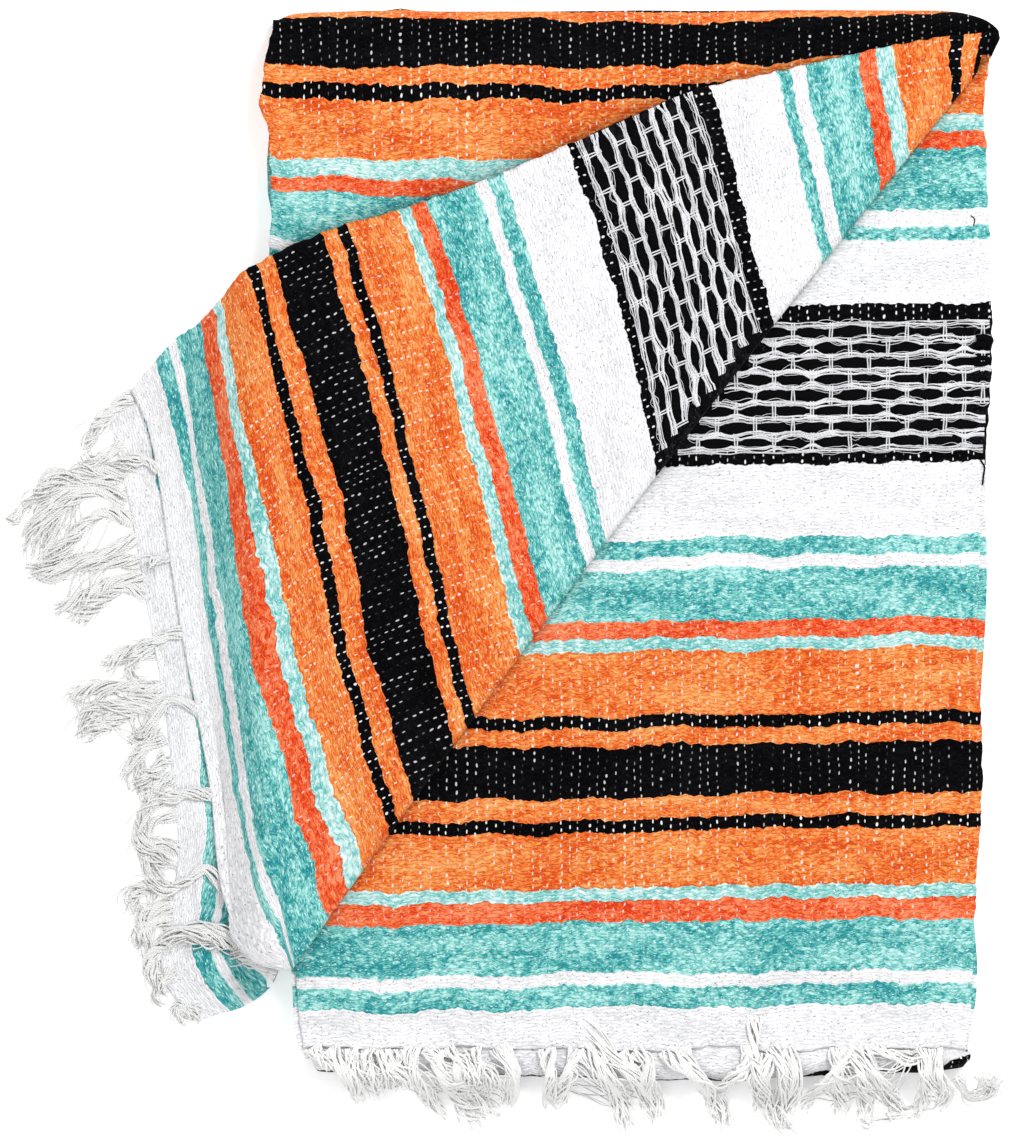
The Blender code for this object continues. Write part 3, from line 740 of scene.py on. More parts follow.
def hidden_edges(column):
    """The edges of the hidden layers, at the left for column 0 and at the right for column 1."""
    turns = np.linspace(math.pi, 0, 7)
    turn = np.tile(turns, HIDDEN_LAYERS)
    layer = np.repeat(np.arange(HIDDEN_LAYERS), len(turns))
    y = np.linspace(-6, STACK_LENGTH - 3, 240)[:, None]
    inward = 1 - 2 * column
    edge = sides(y)[column] + inward * (0.8 + 11 * ease((y - 618) / 20))
    deep = np.array(HIDDEN_STEPS)[(layer + column) % HIDDEN_LAYERS]
    uneven = 0.5 * grain(y / 9, y * 0 + layer, layer + 3 * column)
    x = edge - inward * (HIDDEN_BULGE * np.sin(turn) - HIDDEN_BULGE - deep + uneven)
    z = (layer + 0.5) * HIDDEN_LEVEL + HIDDEN_LEVEL / 2 * 0.96 * np.cos(turn)
    return grid(x, y, z), grid(z * 1.4, y + layer * 2.0), None, not column


def hidden_front():
    """The second fold, which shows below the hem."""
    x = np.linspace(*HIDDEN_FRONT, 320)[:, None]
    turn = np.linspace(-math.pi / 2, math.pi / 2, 26)
    radius = BASE_HEIGHT / 2
    sag = 0.7 * wave(x, 14, 8) + 0.4 * wave(x, 5, 9)
    corner = 12 * ease(1 - (x - x[0]) / 9) + 4 * ease(1 - (x[-1] - x) / 5)
    y = smooth(FRONT_FOLD, x) + radius * FOLD_REACH * (1 - np.cos(turn)) + (sag + corner) * np.cos(turn)
    outermost = smooth(FOLD_STRIPE_PX, x / PIXEL + CORNER_PX[0]) * PIXEL
    t = outermost - radius * 0.9 * turn + 0.8 * wave(x, 12, 10)
    return grid(x, y, radius + radius * np.sin(turn)), grid(x, t), None, True


def hidden_top():
    share = np.linspace(0, 1, 60)
    end = STACK_LENGTH - 8
    left, right = sides(share[:, None] * end)
    x = (left + 3) * (1 - share) + (right - 3) * share
    start = smooth(FRONT_FOLD, x[0]) + BASE_HEIGHT / 2 * FOLD_REACH - 0.3
    y = start + (end - start) * share[:, None] ** 2
    return grid(x, y, BASE_HEIGHT), grid(x, y), None, False


def hidden_back():
    """The back of the hidden layers, with a step under the rolled panel."""
    x = np.linspace(*HIDDEN_BACK, 220)[:, None]
    z = np.linspace(0.2, BASE_HEIGHT, 14)
    step = np.where(z < ROLL_Z - ROLL_RADIUS - HALF, STACK_LENGTH - 3, ROLL_Y + 3.0)
    y = step + 0.5 * np.sin(z * math.tau / HIDDEN_LEVEL) + 0.3 * wave(x, 9, 2)
    return grid(x, y, z), grid(x, 1030 * PIXEL + 0.5 * z), None, False


def hidden_underside():
    x = np.array([HIDDEN_FRONT, HIDDEN_BACK])
    y = np.array([[-4.0], [STACK_LENGTH - 4]])
    return grid(x, y, 0.2), grid(x, y), None, True


def under_layers():
    """The six layers under the panels, with one round fold in front and a step at the back."""
    edges = [hidden_edges(0), hidden_edges(1)]
    patches = edges + [hidden_front(), hidden_top(), hidden_back(), hidden_underside()]
    piece = mesh_object("folded_layers", patches, CLOTH)
    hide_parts("under_layers")


def front_panel():
    """The panel at the lower right, with a wavy hem. Its part under the turned-back corner is coarse."""
    ys, y_height = hem_rows(FRONT_HEM, ROLL_Y, CELL)
    left, right = sides(ys)
    points, cloth = flat_panel(ys, y_height, left, right, FRONT_Z, CELL, 1, FRONT_WRINKLES, front_t)
    along = points[..., 0]
    hem_wave = 1.7 * wave(along, 19, 60) + 0.9 * wave(along, 5, 61) - 0.6
    points[..., 1] += hem_wave * np.exp((FRONT_HEM - points[..., 1]) / 7)
    x, y = cell_middles(points)
    shown = x > crease(y)[0] - 16
    hidden, hidden_cloth = coarse_panel(FRONT_HEM, 9.0, sides, 1.6, FRONT_Z, 1, front_t)
    x, y = cell_middles(hidden)
    rest = x < crease(y)[0] - 10
    patches = [(points, cloth, shown, False), (hidden, hidden_cloth, rest, False)]
    piece = mesh_object("front_cloth", patches, CLOTH, crease_painted_shade)
    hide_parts("front_panel")
    return piece


def beside_crease(y):
    """The left edge and the crease, drawn in to leave room for the flap's turn."""
    left, right = sides(y)
    slant = math.atan2(CREASE_END[1] - CREASE_START[1], CREASE_END[0] - CREASE_START[0])
    return left, np.minimum(crease(y)[0] - CREASE_INSET / math.sin(slant), right)


def middle_panel():
    """The part of the second panel that stays down, mostly covered."""
    points, cloth = coarse_panel(PANEL_START, 5.0, beside_crease, 1.4, MIDDLE_Z, 2, lambda x, y: y)
    piece = mesh_object("middle_cloth", [(points, cloth, None, False)], CLOTH)
    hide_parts("middle_panel")
    return piece


RIGHT_CORNER = (  # y, how far the outer roll stands out beyond the crease's room at its right end
    (560, 0), (595, 2), (615, 10), (627, 15), (640, 15),
)


def top_panel():
    """The outer panel: flat on the one below, then rolled over the top fold."""
    ys, y_height = hem_rows(PANEL_START, ROLL_Y, CELL)
    turns = np.linspace(0, ROLL_TURN, 22)[1:]
    radius = ROLL_RADIUS + HALF
    flat_ys = np.append(ys[:-RIM_STEPS], ROLL_Y)
    all_ys = np.concatenate([flat_ys, ROLL_Y + radius * np.sin(turns)])
    heights = np.concatenate([y_height[:-RIM_STEPS], np.full(len(turns) + 1, HALF)])
    left, right = beside_crease(np.minimum(all_ys, ROLL_Y))
    left_in, right_in = smooth(TOP_CORNERS, ROLL_Y + (all_ys - ROLL_Y) * 1.2)
    left, right = left + left_in - 0.9, right + smooth(RIGHT_CORNER, all_ys) - right_in
    points, cloth = flat_panel(all_ys, heights, left, right, TOP_Z, CELL, 3, TOP_WRINKLES, back_t)

    # The roll falls behind the stack, and reaches as far as the top edge in the photograph
    points[len(flat_ys):, :, 2] -= radius * (1 - np.cos(turns))[:, None]
    edge_x, edge_y = from_photo(*np.array(TOP_EDGE_PX, float).T)
    stretch = (np.interp(points[..., 0], edge_x, edge_y) - ROLL_Y) / radius
    points[..., 1] += np.maximum(0.0, points[..., 1] - ROLL_Y) * (stretch - 1)
    sheet_y = np.concatenate([flat_ys, ROLL_Y + radius * turns])[:, None]
    sheet_y = sheet_y + np.maximum(0.0, sheet_y - ROLL_Y) * (stretch - 1)
    cloth[..., 1] = back_t(points[..., 0], sheet_y)

    shown = past_flap(*cell_middles(grid(points[..., 0], sheet_y))) > -18
    hidden, hidden_cloth = coarse_panel(PANEL_START, 8.0, beside_crease, 0, TOP_Z, 3, back_t)
    rest = past_flap(*cell_middles(hidden)) < -12
    patches = [(points, cloth, shown, False), (hidden, hidden_cloth, rest, False)]
    piece = mesh_object("top_cloth", patches, CLOTH, flap_edge_painted_shade)
    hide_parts("top_panel")
    return piece


def flap_cloth():
    """The turned-back cloth: a roll along the crease, the flat face, and the fold along the upper edge."""
    share, height = across(FLAP_LENGTH, FLAP_CELL)
    along = (share * FLAP_LENGTH)[:-RIM_STEPS, None]
    hem = height[:-RIM_STEPS, None] - HALF
    length, slant = flap_line(along)
    full = CREASE_RADIUS * turned(along) + HALF
    fold = FOLD_RADIUS + HALF
    turns = np.linspace(math.pi, 0, 9)
    crease_in = full * (1 - np.sin(turns)) / slant
    crease_drop = full * (1 - np.cos(turns))
    fold_in = fold * (1 - np.sin(turns[::-1]))
    fold_drop = fold * (1 - np.cos(turns[::-1])) + 0 * full
    start = full / slant / length
    stop = 1 - fold / length
    inner = start + (stop - start) * np.linspace(0, 1, FLAP_COLUMNS)[1:-1]
    share = np.concatenate([crease_in / length, inner, 1 - fold_in / length], 1)
    drop = np.concatenate([crease_drop, 0 * inner, fold_drop], 1)
    edge_wave = 0.55 * wave(along, 6.5, 13) + 0.4 * wave(along, 2.4, 14)
    x, y = flap_plan(along, share + ease((share - 0.5) * 2) * edge_wave / length)
    s = length * (1 - share)
    lift = TIP_LIFT * (1 - turned(along)) * (1 - ease(share / TIP_SHARE))
    relief = (puckers(s, along, 6) + wrinkles(x, y, FLAP_WRINKLES)) * ease(1 - drop / 3)
    points = drape_point(x, y, FLAP_TOP + lift + relief + hem)
    points[..., 2] = np.maximum(points[..., 2] - drop, 0.15)
    piece = mesh_object("flap_cloth", [(points, grid(s, along), None, True)], CLOTH)
    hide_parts("flap_over")
    return piece


def flap_lining():
    """The panel inside the flap."""
    run = FLAP_LENGTH - HEM_BAND - 6
    share, height = across(run, LINING_CELL)
    along = (HEM_BAND + share * run)[:, None]
    length, slant = flap_line(along)
    low = (CREASE_INSET + 14 * (1 - turned(along))) / slant / length
    high = 1 - (2 * FOLD_RADIUS + HALF) / length
    places, edge_height = across(200, LINING_CELL)
    share = low + (high - low) * places
    points = drape_point(*flap_plan(along, share), HALF + np.minimum(edge_height, height[:, None]))
    cloth = grid(length * (1 - share), along)
    piece = mesh_object("flap_lining", [(points, cloth, None, True)], CLOTH)
    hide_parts("flap_under")
    return piece


def lining_hem():
    """The hem band of the panel inside the flap, which shows beyond the flap's own hem."""
    places, height = across(UNDER_HEM_LENGTH, HEM_CELL)
    places = places[:, None]
    hem = under_hem(places)
    corner_share = 0.04
    beyond = np.clip((places - corner_share) / (1 - corner_share), 0, 1)
    inner = flap_plan(UNDER_TUCK, UNDER_ENDS[0] + beyond * (UNDER_ENDS[1] - UNDER_ENDS[0]))
    corner = ease(1 - places / corner_share)
    inner = [line + (end - line) * corner for line, end in zip(inner, UNDER_SELVEDGE_END)]
    out, out_height = across(50, HEM_CELL)
    out, out_height = out[:-RIM_STEPS], out_height[:-RIM_STEPS]
    x, y = [low * (1 - out) + high * out for low, high in zip(hem, inner)]
    bulge = 4.5 * np.sin(np.clip(out * 1.04, 0, 1) ** 1.6 * math.pi) * ease(1 - places / 0.11)
    width = np.hypot(inner[0] - hem[0], inner[1] - hem[1])
    t = np.minimum(width * out * 1.2, 74.0)
    s = places * UNDER_HEM_LENGTH
    up = HALF + np.minimum(height[:, None], out_height)
    relief = (puckers(s, t, 9) + 0.8 * grain(s / 22, t / 30, 12)) * ease(up / WALL)
    points = drape_point(x + 0.3 * bulge, y - bulge, up + np.maximum(relief, -0.4))
    piece = mesh_object("lining_hem", [(points, grid(s, t), None, True)], CLOTH)
    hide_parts("flap_under_hem")
    return piece


# Raised picks


def pick_places(left_of, right_of):
    """The middles of the black picks, row by row, between two places along each row, in pixels."""
    places = []
    rng = np.random.default_rng(5)
    pitch = (PICK_BAND_PX[1] - PICK_BAND_PX[0]) / PICK_ROWS
    for row in range(PICK_ROWS):
        t = PICK_BAND_PX[0] + (row + 0.5) * pitch
        left, right = left_of(t), right_of(t)
        s = PICK_PERIOD_PX * (math.ceil(left / PICK_PERIOD_PX) - 1 + row % 2 / 2)
        while s < right:
            if s > left:
                size = rng.uniform(0.78, 1.2)
                places.append((s + rng.uniform(-4, 4), t + rng.uniform(-1, 1), size, rng.uniform(-2, 2)))
            s += PICK_PERIOD_PX
    return places


def lens(s_px, row):
    """Half the height of a row's black picks at places along it."""
    if row not in range(PICK_ROWS):
        return 0 * s_px
    from_middle = (s_px / PICK_PERIOD_PX - row % 2 / 2 + 0.5) % 1 - 0.5
    share = np.abs(from_middle) * PICK_PERIOD_PX / PICK_SIZE_PX[0] * 2
    pick = PICK_SIZE_PX[1] / 2 * np.sqrt(np.maximum(0.0, 1 - share**2.6))
    uneven = wave(s_px, 19, 34, row)
    return np.maximum(pick * (1 + 0.16 * uneven), PICK_GAP_PX * (1 + 0.7 * uneven))


def line_on(surface, s_px, t_px, lift):
    """Points at heights above a surface, along a line of its cloth places."""
    return surface((s_px * PIXEL)[:, None], (t_px * PIXEL)[:, None], lift[:, None])[:, 0]


def crossing(surface, rng, middle, t, pitch):
    """One thin warp thread that arches over the gap between two picks."""
    v = np.linspace(-2, pitch + 2, 7)
    lean = rng.uniform(-1.5, 1.5)
    arch = 0.9 + 0.7 * np.sin(np.clip(v / pitch, 0, 1) * math.pi)
    path = line_on(surface, middle + lean * (v / pitch - 0.5), t + v, arch)
    return tube(path, np.full(len(v), CROSSING_RADIUS), 4)


def white_strands(left_of, right_of, surface):
    """White weft strands in the room between the black picks, and thin warp threads across the gaps."""
    patches = []
    rng = np.random.default_rng(6)
    start, end = PICK_BAND_PX
    pitch = (end - start) / PICK_ROWS
    for line in range(PICK_ROWS + 1):
        t = start + line * pitch
        middle = min(max(t, start + 3), end - 3)
        left, right = left_of(middle), right_of(middle)
        s = np.arange(left - 4, right + 4, STRAND_STEP_PX)
        low = np.maximum(t - pitch / 2 + lens(s, line - 1), start - 2)
        high = np.minimum(t + pitch / 2 - lens(s, line), end + 2)
        for k in range(STRANDS_BETWEEN):
            share = (k + 0.5) / STRANDS_BETWEEN + 0.24 * wave(s, 17, 30 + k, line)
            share = share + rng.uniform(-0.06, 0.06)
            crowd = np.clip(1.5 - (high - low) / 10, 0, 1)
            lift = 0.35 + crowd * 0.8 * (k % 2) + 0.3 * np.abs(wave(s, 9, 40 + k, line))
            room = np.clip((high - low) * PIXEL / (2 * STRANDS_BETWEEN), 0.36, 0.95)
            thick = room * (rng.uniform(0.85, 1.2) + 0.35 * wave(s, 11, 50 + k, line))
            patches.append(tube(line_on(surface, s, low + (high - low) * share, lift), thick, 5))
        for k in range(STRAY_FIBRES):
            stray = 5.5 * wave(s, 16, 70 + k, line) + 0.9 * wave(s, 6, 80 + k, line)
            path = line_on(surface, s, (low + high) / 2 + stray, 1.5 + 0.5 * wave(s, 9, 90 + k, line))
            patches.append(tube(path, 0.2 + 0.08 * wave(s, 20, 95 + k, line), 3))
        gap = PICK_PERIOD_PX * (math.ceil(left / PICK_PERIOD_PX) - 0.5 + line % 2 / 2)
        while line < PICK_ROWS and gap < right:
            patches += [crossing(surface, rng, gap + side, t, pitch) for side in CROSSING_PX]
            gap += PICK_PERIOD_PX
    return patches


def pick_patch(s_px, t_px, size, lean, surface):
    """One thick pick lying on the cloth: rounded ends, arched over its length."""
    u = np.linspace(-1, 1, 15)
    around = np.linspace(0, math.pi, 8)
    wide = np.sqrt(np.maximum(0.0, 1 - np.abs(u) ** 3.4))
    s = (s_px + u * PICK_SIZE_PX[0] / 2 * size) * PIXEL
    rough = 1 + 0.22 * wave(s, 3.2, 22, t_px)
    t = t_px * PIXEL + np.outer(wide * rough, np.cos(around)) * PICK_SIZE_PX[1] / 2 * PIXEL
    t = t + (0.5 * wave(s, 5, 21, t_px) + lean * PIXEL * u)[:, None]
    ragged = np.outer(u**2 * np.sign(u), wave(around * 2.4, 1, 24, s_px))
    s = s[:, None] + 1.3 * ragged
    points = surface(s, t, np.outer(wide, np.sin(around)) * PICK_HEIGHT)
    return points, grid(around * 2, s), None, False


def front_surface(s, t, lift):
    y = t + front_rise(s)
    level = FRONT_Z + WALL + puckers(s, y, 1) + wrinkles(s, y, FRONT_WRINKLES)
    return grid(s, y, level + lift)


def flap_surface(s, t, lift):
    length = flap_line(t[:, 0])[0][:, None]
    share = 1 - s / length
    x, y = flap_plan(t, share)
    relief = puckers(s, t, 6) + wrinkles(x, y, FLAP_WRINKLES)
    return drape_point(x, y, FLAP_TOP + relief + lift)


SELVEDGE_YARNS = (  # radius, then places of black yarn that turns or hangs at the right edge
    (2.4, (976, 338), (984, 337), (990, 339), (990, 342), (984, 344), (977, 344)),
    (2.0, (972, 360), (982, 358), (988, 359), (988, 362), (982, 364), (974, 364)),
    (1.2, (974, 386), (983, 388), (986, 392), (982, 395), (973, 396)),
    (0.6, (981, 460), (985, 467), (984, 475), (983, 485)),
    (0.35, (971, 215), (975, 219), (974, 226)),
)


def route(places_px, run=None):
    """Places in the photograph as a table for smooth: how far along, by default their number, x and y."""
    plan = np.column_stack(from_photo(*np.array(places_px, float).T))
    return np.column_stack([np.arange(len(plan)) if run is None else run(plan), plan])


def turned_yarn(radius, places_px):
    table = route(places_px)
    x, y = smooth(table, np.linspace(0, table[-1, 0], 22))
    return tube(grid(x, y, FRONT_Z + WALL + radius * 0.6), np.full(22, radius))


def raised_picks():
    """The black picks and the white strands of the front panel and of the flap."""

    def front_left(t):
        return (float(crease(t * PIXEL)[0]) + 2) / PIXEL

    def front_right(t):
        return (float(sides(t * PIXEL)[1]) - 7) / PIXEL

    def flap_end(t):
        length, slant = flap_line(np.array([t * PIXEL]))
        return float(length[0] - (CREASE_RADIUS + HALF) / slant[0] - 2) / PIXEL

    def flap_start(t):
        return 5.0

    turned_yarns = [turned_yarn(radius, places) for radius, *places in SELVEDGE_YARNS]
    pieces = []
    for name, left, right, surface, wider, more in (
        ("front", front_left, front_right, front_surface, 7, turned_yarns),
        ("flap", flap_start, flap_end, flap_surface, 0, []),
    ):
        picks = [pick_patch(*place, surface) for place in pick_places(left, right)] + more
        pieces.append(mesh_object(name + "_picks", picks, BLACK_YARN))
        strands = white_strands(left, lambda t: right(t) + wider, surface)
        pieces.append(mesh_object(name + "_strands", strands, WEFT_STRAND))
    return pieces


# Fringe


def tube(path, radii, sides=5):
    """A yarn along a path of points, as a patch."""
    path = np.asarray(path, float)
    forward = np.gradient(path, axis=0)
    forward /= np.linalg.norm(forward, axis=1)[:, None] + 1e-9
    side = np.cross(forward, (0, 0, 1.0))
    side /= np.linalg.norm(side, axis=1)[:, None] + 1e-9
    up = np.cross(side, forward)
    around = np.linspace(0, math.tau, sides + 1)
    ring = side[:, None, :] * np.cos(around)[None, :, None] + up[:, None, :] * np.sin(around)[None, :, None]
    points = path[:, None, :] + ring * np.asarray(radii)[:, None, None]
    run = np.concatenate([[0], np.cumsum(np.linalg.norm(np.diff(path, axis=0), axis=1))])
    cloth = np.stack(np.broadcast_arrays(around[None, :], run[:, None]), -1)
    return points, cloth, None, False


def plan_lengths(plan):
    """How far along a line each of its points lies."""
    return np.concatenate([[0], np.cumsum(np.hypot(*np.diff(plan, axis=0).T))])


def square_to(line):
    """The directions square to a line in the plan."""
    ahead = np.gradient(line, axis=0)
    ahead /= np.linalg.norm(ahead, axis=1)[:, None] + 1e-9
    return np.column_stack([-ahead[:, 1], ahead[:, 0]])


def rope(rng, places, width, level_of, yarns):
    """Loosely plied yarns along a line: spread at the hem, together further on and frayed at the end."""
    table = route(places, plan_lengths)
    length = table[-1, 0]
    patches = []
    twist = rng.choice((-1, 1)) * rng.uniform(0.25, 0.9) * math.tau * length / 35
    for yarn in range(yarns):
        u = np.linspace(0, 1, 20)
        reach = rng.uniform(0.82, 1.0) if rng.uniform() < 0.7 else rng.uniform(0.5, 0.82)
        line = np.stack(smooth(table, u * reach * length), -1)
        spread = width * (1.05 - 0.4 * ease(u * 3) + 0.5 * ease((u - 0.45) / 0.55))
        turn = math.tau * yarn / yarns + rng.uniform(-0.5, 0.5) + twist * u
        off = spread * math.sqrt(rng.uniform(0.1, 1)) * np.cos(turn)
        off = off + 1.3 * wave(u * 5, 1, 17, rng.integers(99))
        if rng.uniform() < 0.2:
            off = off + rng.choice((-1, 1)) * rng.uniform(2, 6) * ease((u - 0.4) / 0.6)
        path = line + square_to(line) * off[:, None]
        radius = rng.uniform(0.45, 0.8)
        z = level_of(path[:, 0], path[:, 1]) + radius + spread * 0.45 * (1 + np.sin(turn)) * ease(0.3 + u * 4)
        radii = radius * (1 - 0.45 * ease((u - 0.85) / 0.15))
        patches.append(tube(np.column_stack([path, z]), radii, 5))
    for _ in range(yarns // 2):
        centre = np.array(smooth(table, rng.uniform(0.2, 1.0) * length))
        v = np.linspace(-1, 1, 7)
        angle = rng.uniform(0, math.tau) + v * rng.uniform(-1.4, 1.4)
        path = centre + np.column_stack([np.cos(angle), np.sin(angle)]) * (v * rng.uniform(3, 7))[:, None]
        z = level_of(path[:, 0], path[:, 1]) + rng.uniform(0.8, 3.4)
        patches.append(tube(np.column_stack([path, z]), np.full(7, 0.12), 3))
    return patches


FRONT_ROPES_PX = (  # half width, then the places of a bundle from the hem to its end
    (8, (312, 1048), (318, 1056), (330, 1064), (334, 1070)),
    (9, (330, 1048), (338, 1060), (346, 1074), (356, 1088), (362, 1107)),
    (8, (350, 1049), (352, 1062), (356, 1080), (364, 1090)),
    (9, (366, 1050), (369, 1065), (371, 1082), (378, 1099)),
    (8, (382, 1050), (384, 1065), (389, 1082), (387, 1094)),
    (8, (396, 1050), (396, 1066), (401, 1080), (400, 1094)),
    (9, (413, 1047), (412, 1062), (417, 1080), (430, 1104), (446, 1127)),
    (8, (425, 1048), (437, 1058), (441, 1074), (455, 1090), (479, 1095)),
    (8, (446, 1048), (455, 1056), (466, 1066), (474, 1078), (481, 1087)),
    (9, (434, 1052), (442, 1078), (455, 1097), (468, 1117), (489, 1131)),
    (7, (452, 1062), (462, 1086), (476, 1099), (488, 1108), (500, 1125)),
    (8, (474, 1048), (478, 1062), (488, 1078), (496, 1096)),
    (8, (499, 1046), (507, 1060), (513, 1080), (510, 1096), (503, 1110)),
    (6, (506, 1048), (514, 1064), (515, 1084), (508, 1112)),
    (9, (546, 1049), (549, 1068), (551, 1088), (555, 1104), (557, 1115)),
    (8, (577, 1049), (570, 1068), (565, 1090), (560, 1113)),
    (8, (590, 1040), (600, 1058), (612, 1085), (625, 1112), (633, 1138)),
    (8, (583, 1018), (597, 1036), (614, 1057), (640, 1082), (650, 1108), (657, 1131)),
    (9, (584, 1048), (600, 1074), (616, 1098), (628, 1137)),
    (9, (634, 1050), (648, 1060), (648, 1080), (655, 1106), (657, 1130)),
    (6, (622, 1052), (632, 1066), (645, 1078), (652, 1092)),
    (9, (666, 1049), (678, 1064), (698, 1080), (716, 1104), (731, 1141)),
    (8, (682, 1049), (693, 1068), (708, 1090), (720, 1114), (729, 1139)),
    (7, (749, 1046), (746, 1066), (732, 1080), (719, 1094), (710, 1098)),
    (9, (757, 1016), (754, 1045), (757, 1075), (762, 1100), (766, 1124)),
    (9, (772, 1047), (781, 1062), (786, 1084), (783, 1108), (772, 1124)),
    (9, (766, 1054), (764, 1084), (771, 1112), (784, 1128), (800, 1138)),
    (8, (784, 1050), (796, 1070), (797, 1096), (787, 1120)),
    (8, (848, 1049), (836, 1073), (815, 1096), (796, 1122)),
    (9, (838, 1048), (838, 1070), (842, 1096), (845, 1122)),
    (9, (854, 1048), (861, 1070), (866, 1098), (869, 1129)),
    (8, (862, 1048), (874, 1070), (892, 1098), (906, 1119)),
    (6, (870, 1046), (890, 1054), (909, 1058), (926, 1052)),
    (6, (864, 1130), (890, 1123), (912, 1116), (927, 1120)),
    (9, (927, 1049), (925, 1078), (928, 1104), (922, 1127)),
    (8, (935, 1049), (940, 1076), (950, 1100), (938, 1118)),
    (6, (978, 1074), (986, 1083), (993, 1084), (998, 1074)),
    (7, (958, 1078), (974, 1100), (989, 1096), (997, 1082)),
)
FLAP_ROPES_PX = (  # the fringe of the flap's hem
    (6, (156, 470), (141, 459), (126, 458), (112, 463)),
    (4, (168, 556), (158, 559), (150, 562), (144, 568)),
    (6, (184, 632), (165, 636), (146, 645), (118, 662)),
    (5, (199, 716), (184, 704), (165, 702), (149, 722), (138, 742)),
    (6, (210, 797), (190, 794), (165, 802), (143, 815), (137, 840)),
    (6, (224, 890), (201, 872), (186, 884), (160, 892), (140, 884)),
    (8, (253, 954), (228, 938), (200, 932), (172, 938), (158, 956)),
    (8, (262, 966), (243, 952), (222, 944), (204, 942), (186, 938), (170, 946)),
    (6, (276, 976), (258, 968), (242, 960), (228, 956)),
)
LINING_ROPES_PX = (  # the fringe of the lining's hem
    (8, (130, 394), (110, 408), (92, 430), (76, 452)),
    (7, (122, 440), (104, 455), (88, 462), (77, 452)),
    (9, (136, 466), (118, 468), (85, 472), (54, 476), (36, 494), (18, 506)),
    (8, (122, 472), (94, 480), (60, 490), (35, 520), (20, 562)),
    (9, (124, 500), (96, 490), (66, 500), (46, 530), (34, 562)),
    (8, (131, 520), (105, 512), (76, 530), (56, 550), (44, 567)),
    (8, (134, 538), (110, 550), (80, 560), (50, 567), (22, 572)),
    (9, (137, 562), (112, 562), (80, 566), (46, 574), (20, 570)),
    (8, (143, 582), (116, 580), (92, 590), (66, 607), (46, 612)),
    (8, (144, 594), (123, 588), (101, 600), (81, 614), (63, 625)),
    (4, (36, 496), (20, 505), (10, 520), (3, 515)),
    (9, (168, 640), (146, 645), (120, 658), (96, 671)),
    (7, (152, 652), (127, 664), (130, 680), (154, 690)),
    (9, (162, 690), (126, 688), (86, 690), (68, 700), (65, 713)),
    (9, (164, 700), (122, 704), (85, 718), (71, 742)),
    (8, (170, 706), (132, 711), (106, 724), (77, 742)),
    (8, (184, 702), (166, 703), (148, 720), (140, 738), (124, 742)),
    (9, (163, 738), (137, 754), (126, 774), (117, 783)),
    (9, (166, 758), (150, 774), (135, 789), (130, 792)),
    (8, (172, 778), (153, 790), (144, 801), (140, 806)),
    (9, (176, 798), (146, 808), (138, 830), (142, 850), (164, 868)),
    (7, (175, 818), (152, 824), (145, 845), (160, 864), (174, 870)),
    (8, (180, 852), (158, 846), (143, 856), (145, 868), (162, 885)),
    (9, (172, 894), (150, 889), (132, 895), (125, 909), (120, 918)),
    (8, (174, 910), (155, 911), (141, 920), (134, 948)),
    (8, (172, 928), (151, 925), (137, 944), (136, 952)),
    (9, (168, 942), (151, 954), (149, 974), (164, 992)),
    (8, (176, 975), (160, 985), (156, 998), (166, 1004)),
    (8, (199, 1018), (186, 1015), (176, 1012), (188, 1028)),
)


def tangle(rng, one, other, level_of):
    """Single yarns that wander from one bundle to the next."""
    tables = [route(places, lambda plan: np.linspace(0, 1, len(plan))) for places in (one, other)]
    patches = []
    for _ in range(TANGLE_YARNS):
        start, end = rng.uniform(0.1, 0.75), rng.uniform(0.45, 1.0)
        u = np.linspace(0, 1, 16)
        first = np.stack(smooth(tables[0], start + (end - start) * u * 0.8), -1)
        second = np.stack(smooth(tables[1], start + (end - start) * u), -1)
        share = ease(u)[:, None]
        path = first * (1 - share) + second * share
        stray = rng.integers(999)
        path = path + 3.0 * np.column_stack([wave(u * 3, 1, seed, stray) for seed in (18, 19)])
        radius = rng.uniform(0.3, 0.6)
        z = level_of(path[:, 0], path[:, 1]) + radius + rng.uniform(0, 3.5)
        patches.append(tube(np.column_stack([path, z]), np.full(16, radius), 4))
    return patches


def fringe(name, table, material, level_of, yarns, replaced, seed):
    rng = np.random.default_rng(seed)
    patches = []
    for half_width, *places in table:
        patches += rope(rng, places, half_width * PIXEL, level_of, yarns)
    for (_, *one), (_, *other) in zip(table, table[1:]):
        if math.dist(one[0], other[0]) < TANGLE_REACH_PX:
            patches += tangle(rng, one, other, level_of)
    piece = mesh_object(name, patches, material)
    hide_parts(replaced)
    return piece


def front_level(x, y):
    """From the hem over the second fold and down to the surface."""
    return FOLD_TOP + (FLOOR_TOP - FOLD_TOP) * ease((FRONT_HEM - y - 15) / 24)


def flap_level(x, y):
    """On the hem band of the panel below, and beyond that on the surface."""
    return drape(x, y) + 3.0


def floor_level(x, y):
    return 0.2 + 0 * x


# Stage


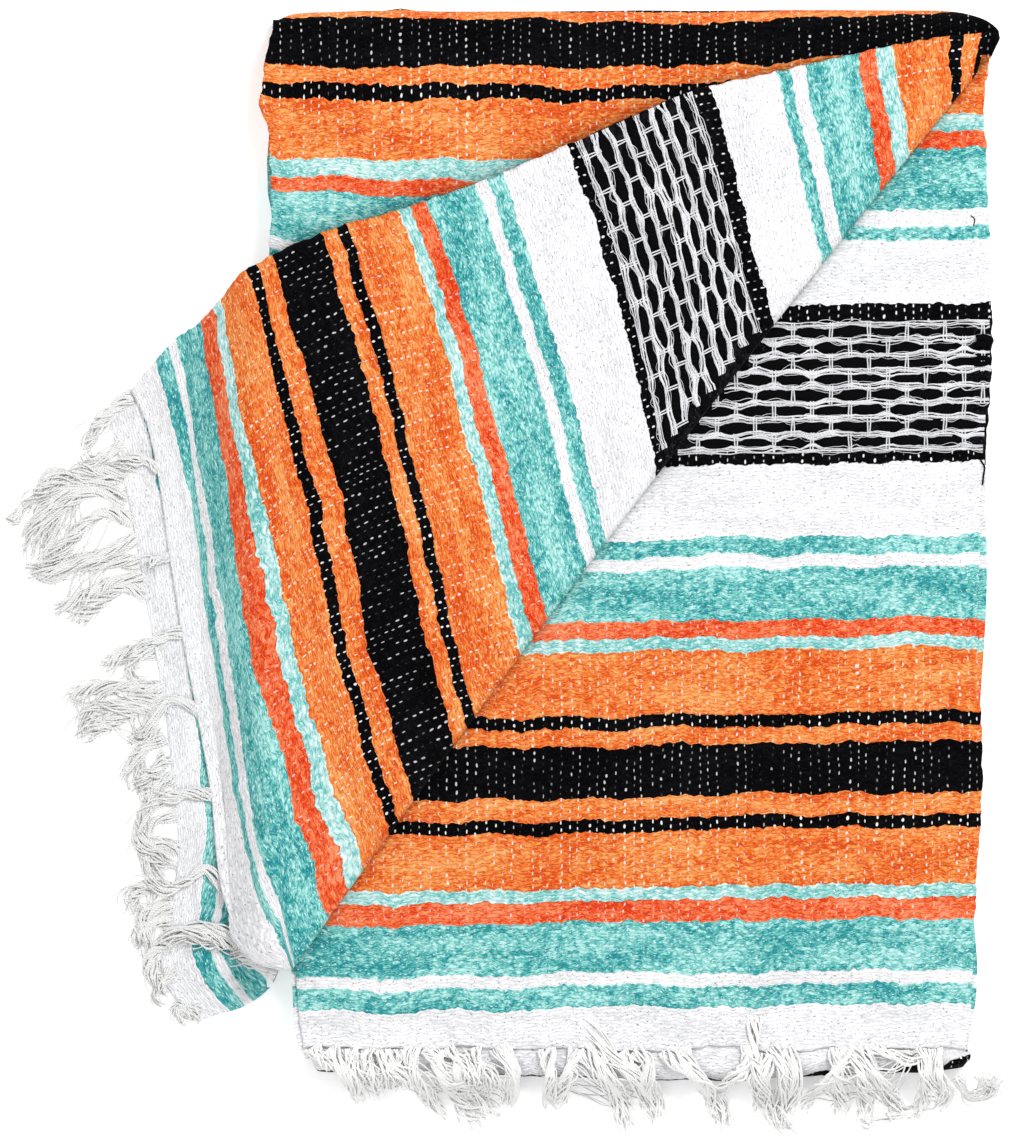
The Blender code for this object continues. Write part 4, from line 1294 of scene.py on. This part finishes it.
def stage():
    mesh = bpy.data.meshes.new("floor")
    size = 6.0
    corners = [(-size, -size, 0), (size, -size, 0), (size, size, 0), (-size, size, 0)]
    mesh.from_pydata(corners, [], [(0, 1, 2, 3)])
    floor = bpy.data.objects.new("floor", mesh)
    bpy.context.scene.collection.objects.link(floor)
    nodes = Nodes("white floor")
    looks = {"Base Color": (0.93, 0.93, 0.93, 1), "Roughness": 0.9}
    nodes.put(nodes.shader, {**looks, "Emission Color": (1, 1, 1, 1), "Emission Strength": 0.36})
    mesh.materials.append(nodes.material)
    world = bpy.data.worlds.new("studio")
    bpy.context.scene.world = world
    world.use_nodes = True
    background = world.node_tree.nodes["Background"].inputs
    background["Color"].default_value = (1, 1, 1, 1)
    background["Strength"].default_value = 0.74
    bpy.context.scene.view_settings.view_transform = "Standard"
    for name, place, wide, power in (
        ("key light", (0.95, 1.2, 2.45), 0.8, 48),
        ("fill light", (-1.0, -1.8, 2.5), 2.0, 13),
    ):
        light = bpy.data.lights.new(name, "AREA")
        light.size = wide
        light.energy = power
        lamp = bpy.data.objects.new(name, light)
        lamp.location = place
        lamp.rotation_euler = Vector(-np.array(place)).to_track_quat("-Z", "Y").to_euler()
        bpy.context.scene.collection.objects.link(lamp)


def camera():
    """Straight above, with the photograph's whole frame at the height of the stack."""
    distance = 4.0
    sensor = 24.0
    frame_height = IMAGE_PX[1] * PIXEL * MM
    data = bpy.data.cameras.new("camera")
    data.sensor_fit = "VERTICAL"
    data.sensor_height = sensor
    data.lens = sensor * distance / frame_height
    data.clip_end = 20
    camera_object = bpy.data.objects.new("camera", data)
    x, y = from_photo(IMAGE_PX[0] / 2, IMAGE_PX[1] / 2)
    camera_object.location = (float(x) * MM + OFFSET[0], float(y) * MM + OFFSET[1], distance + TOP_Z * MM)
    bpy.context.scene.collection.objects.link(camera_object)
    bpy.context.scene.camera = camera_object


under_layers()
front_sheet = front_panel()
middle_sheet = middle_panel()
top_sheet = top_panel()
flap_sheet = flap_cloth()
lining_sheet = flap_lining()
hem_sheet = lining_hem()
front_picks, front_strands, flap_picks, flap_strands = raised_picks()
front_fringe = fringe("front_tassels", FRONT_ROPES_PX, FRONT_FRINGE_YARN, front_level, 19, "front_fringe", 3)
flap_fringe = fringe("flap_tassels", FLAP_ROPES_PX, SHADED_FRINGE_YARN, flap_level, 20, "flap_fringe", 4)
lining_fringe = fringe(
    "lining_tassels", LINING_ROPES_PX, SHADED_FRINGE_YARN, floor_level, 25, "flap_under_fringe", 5
)
stage()
camera()
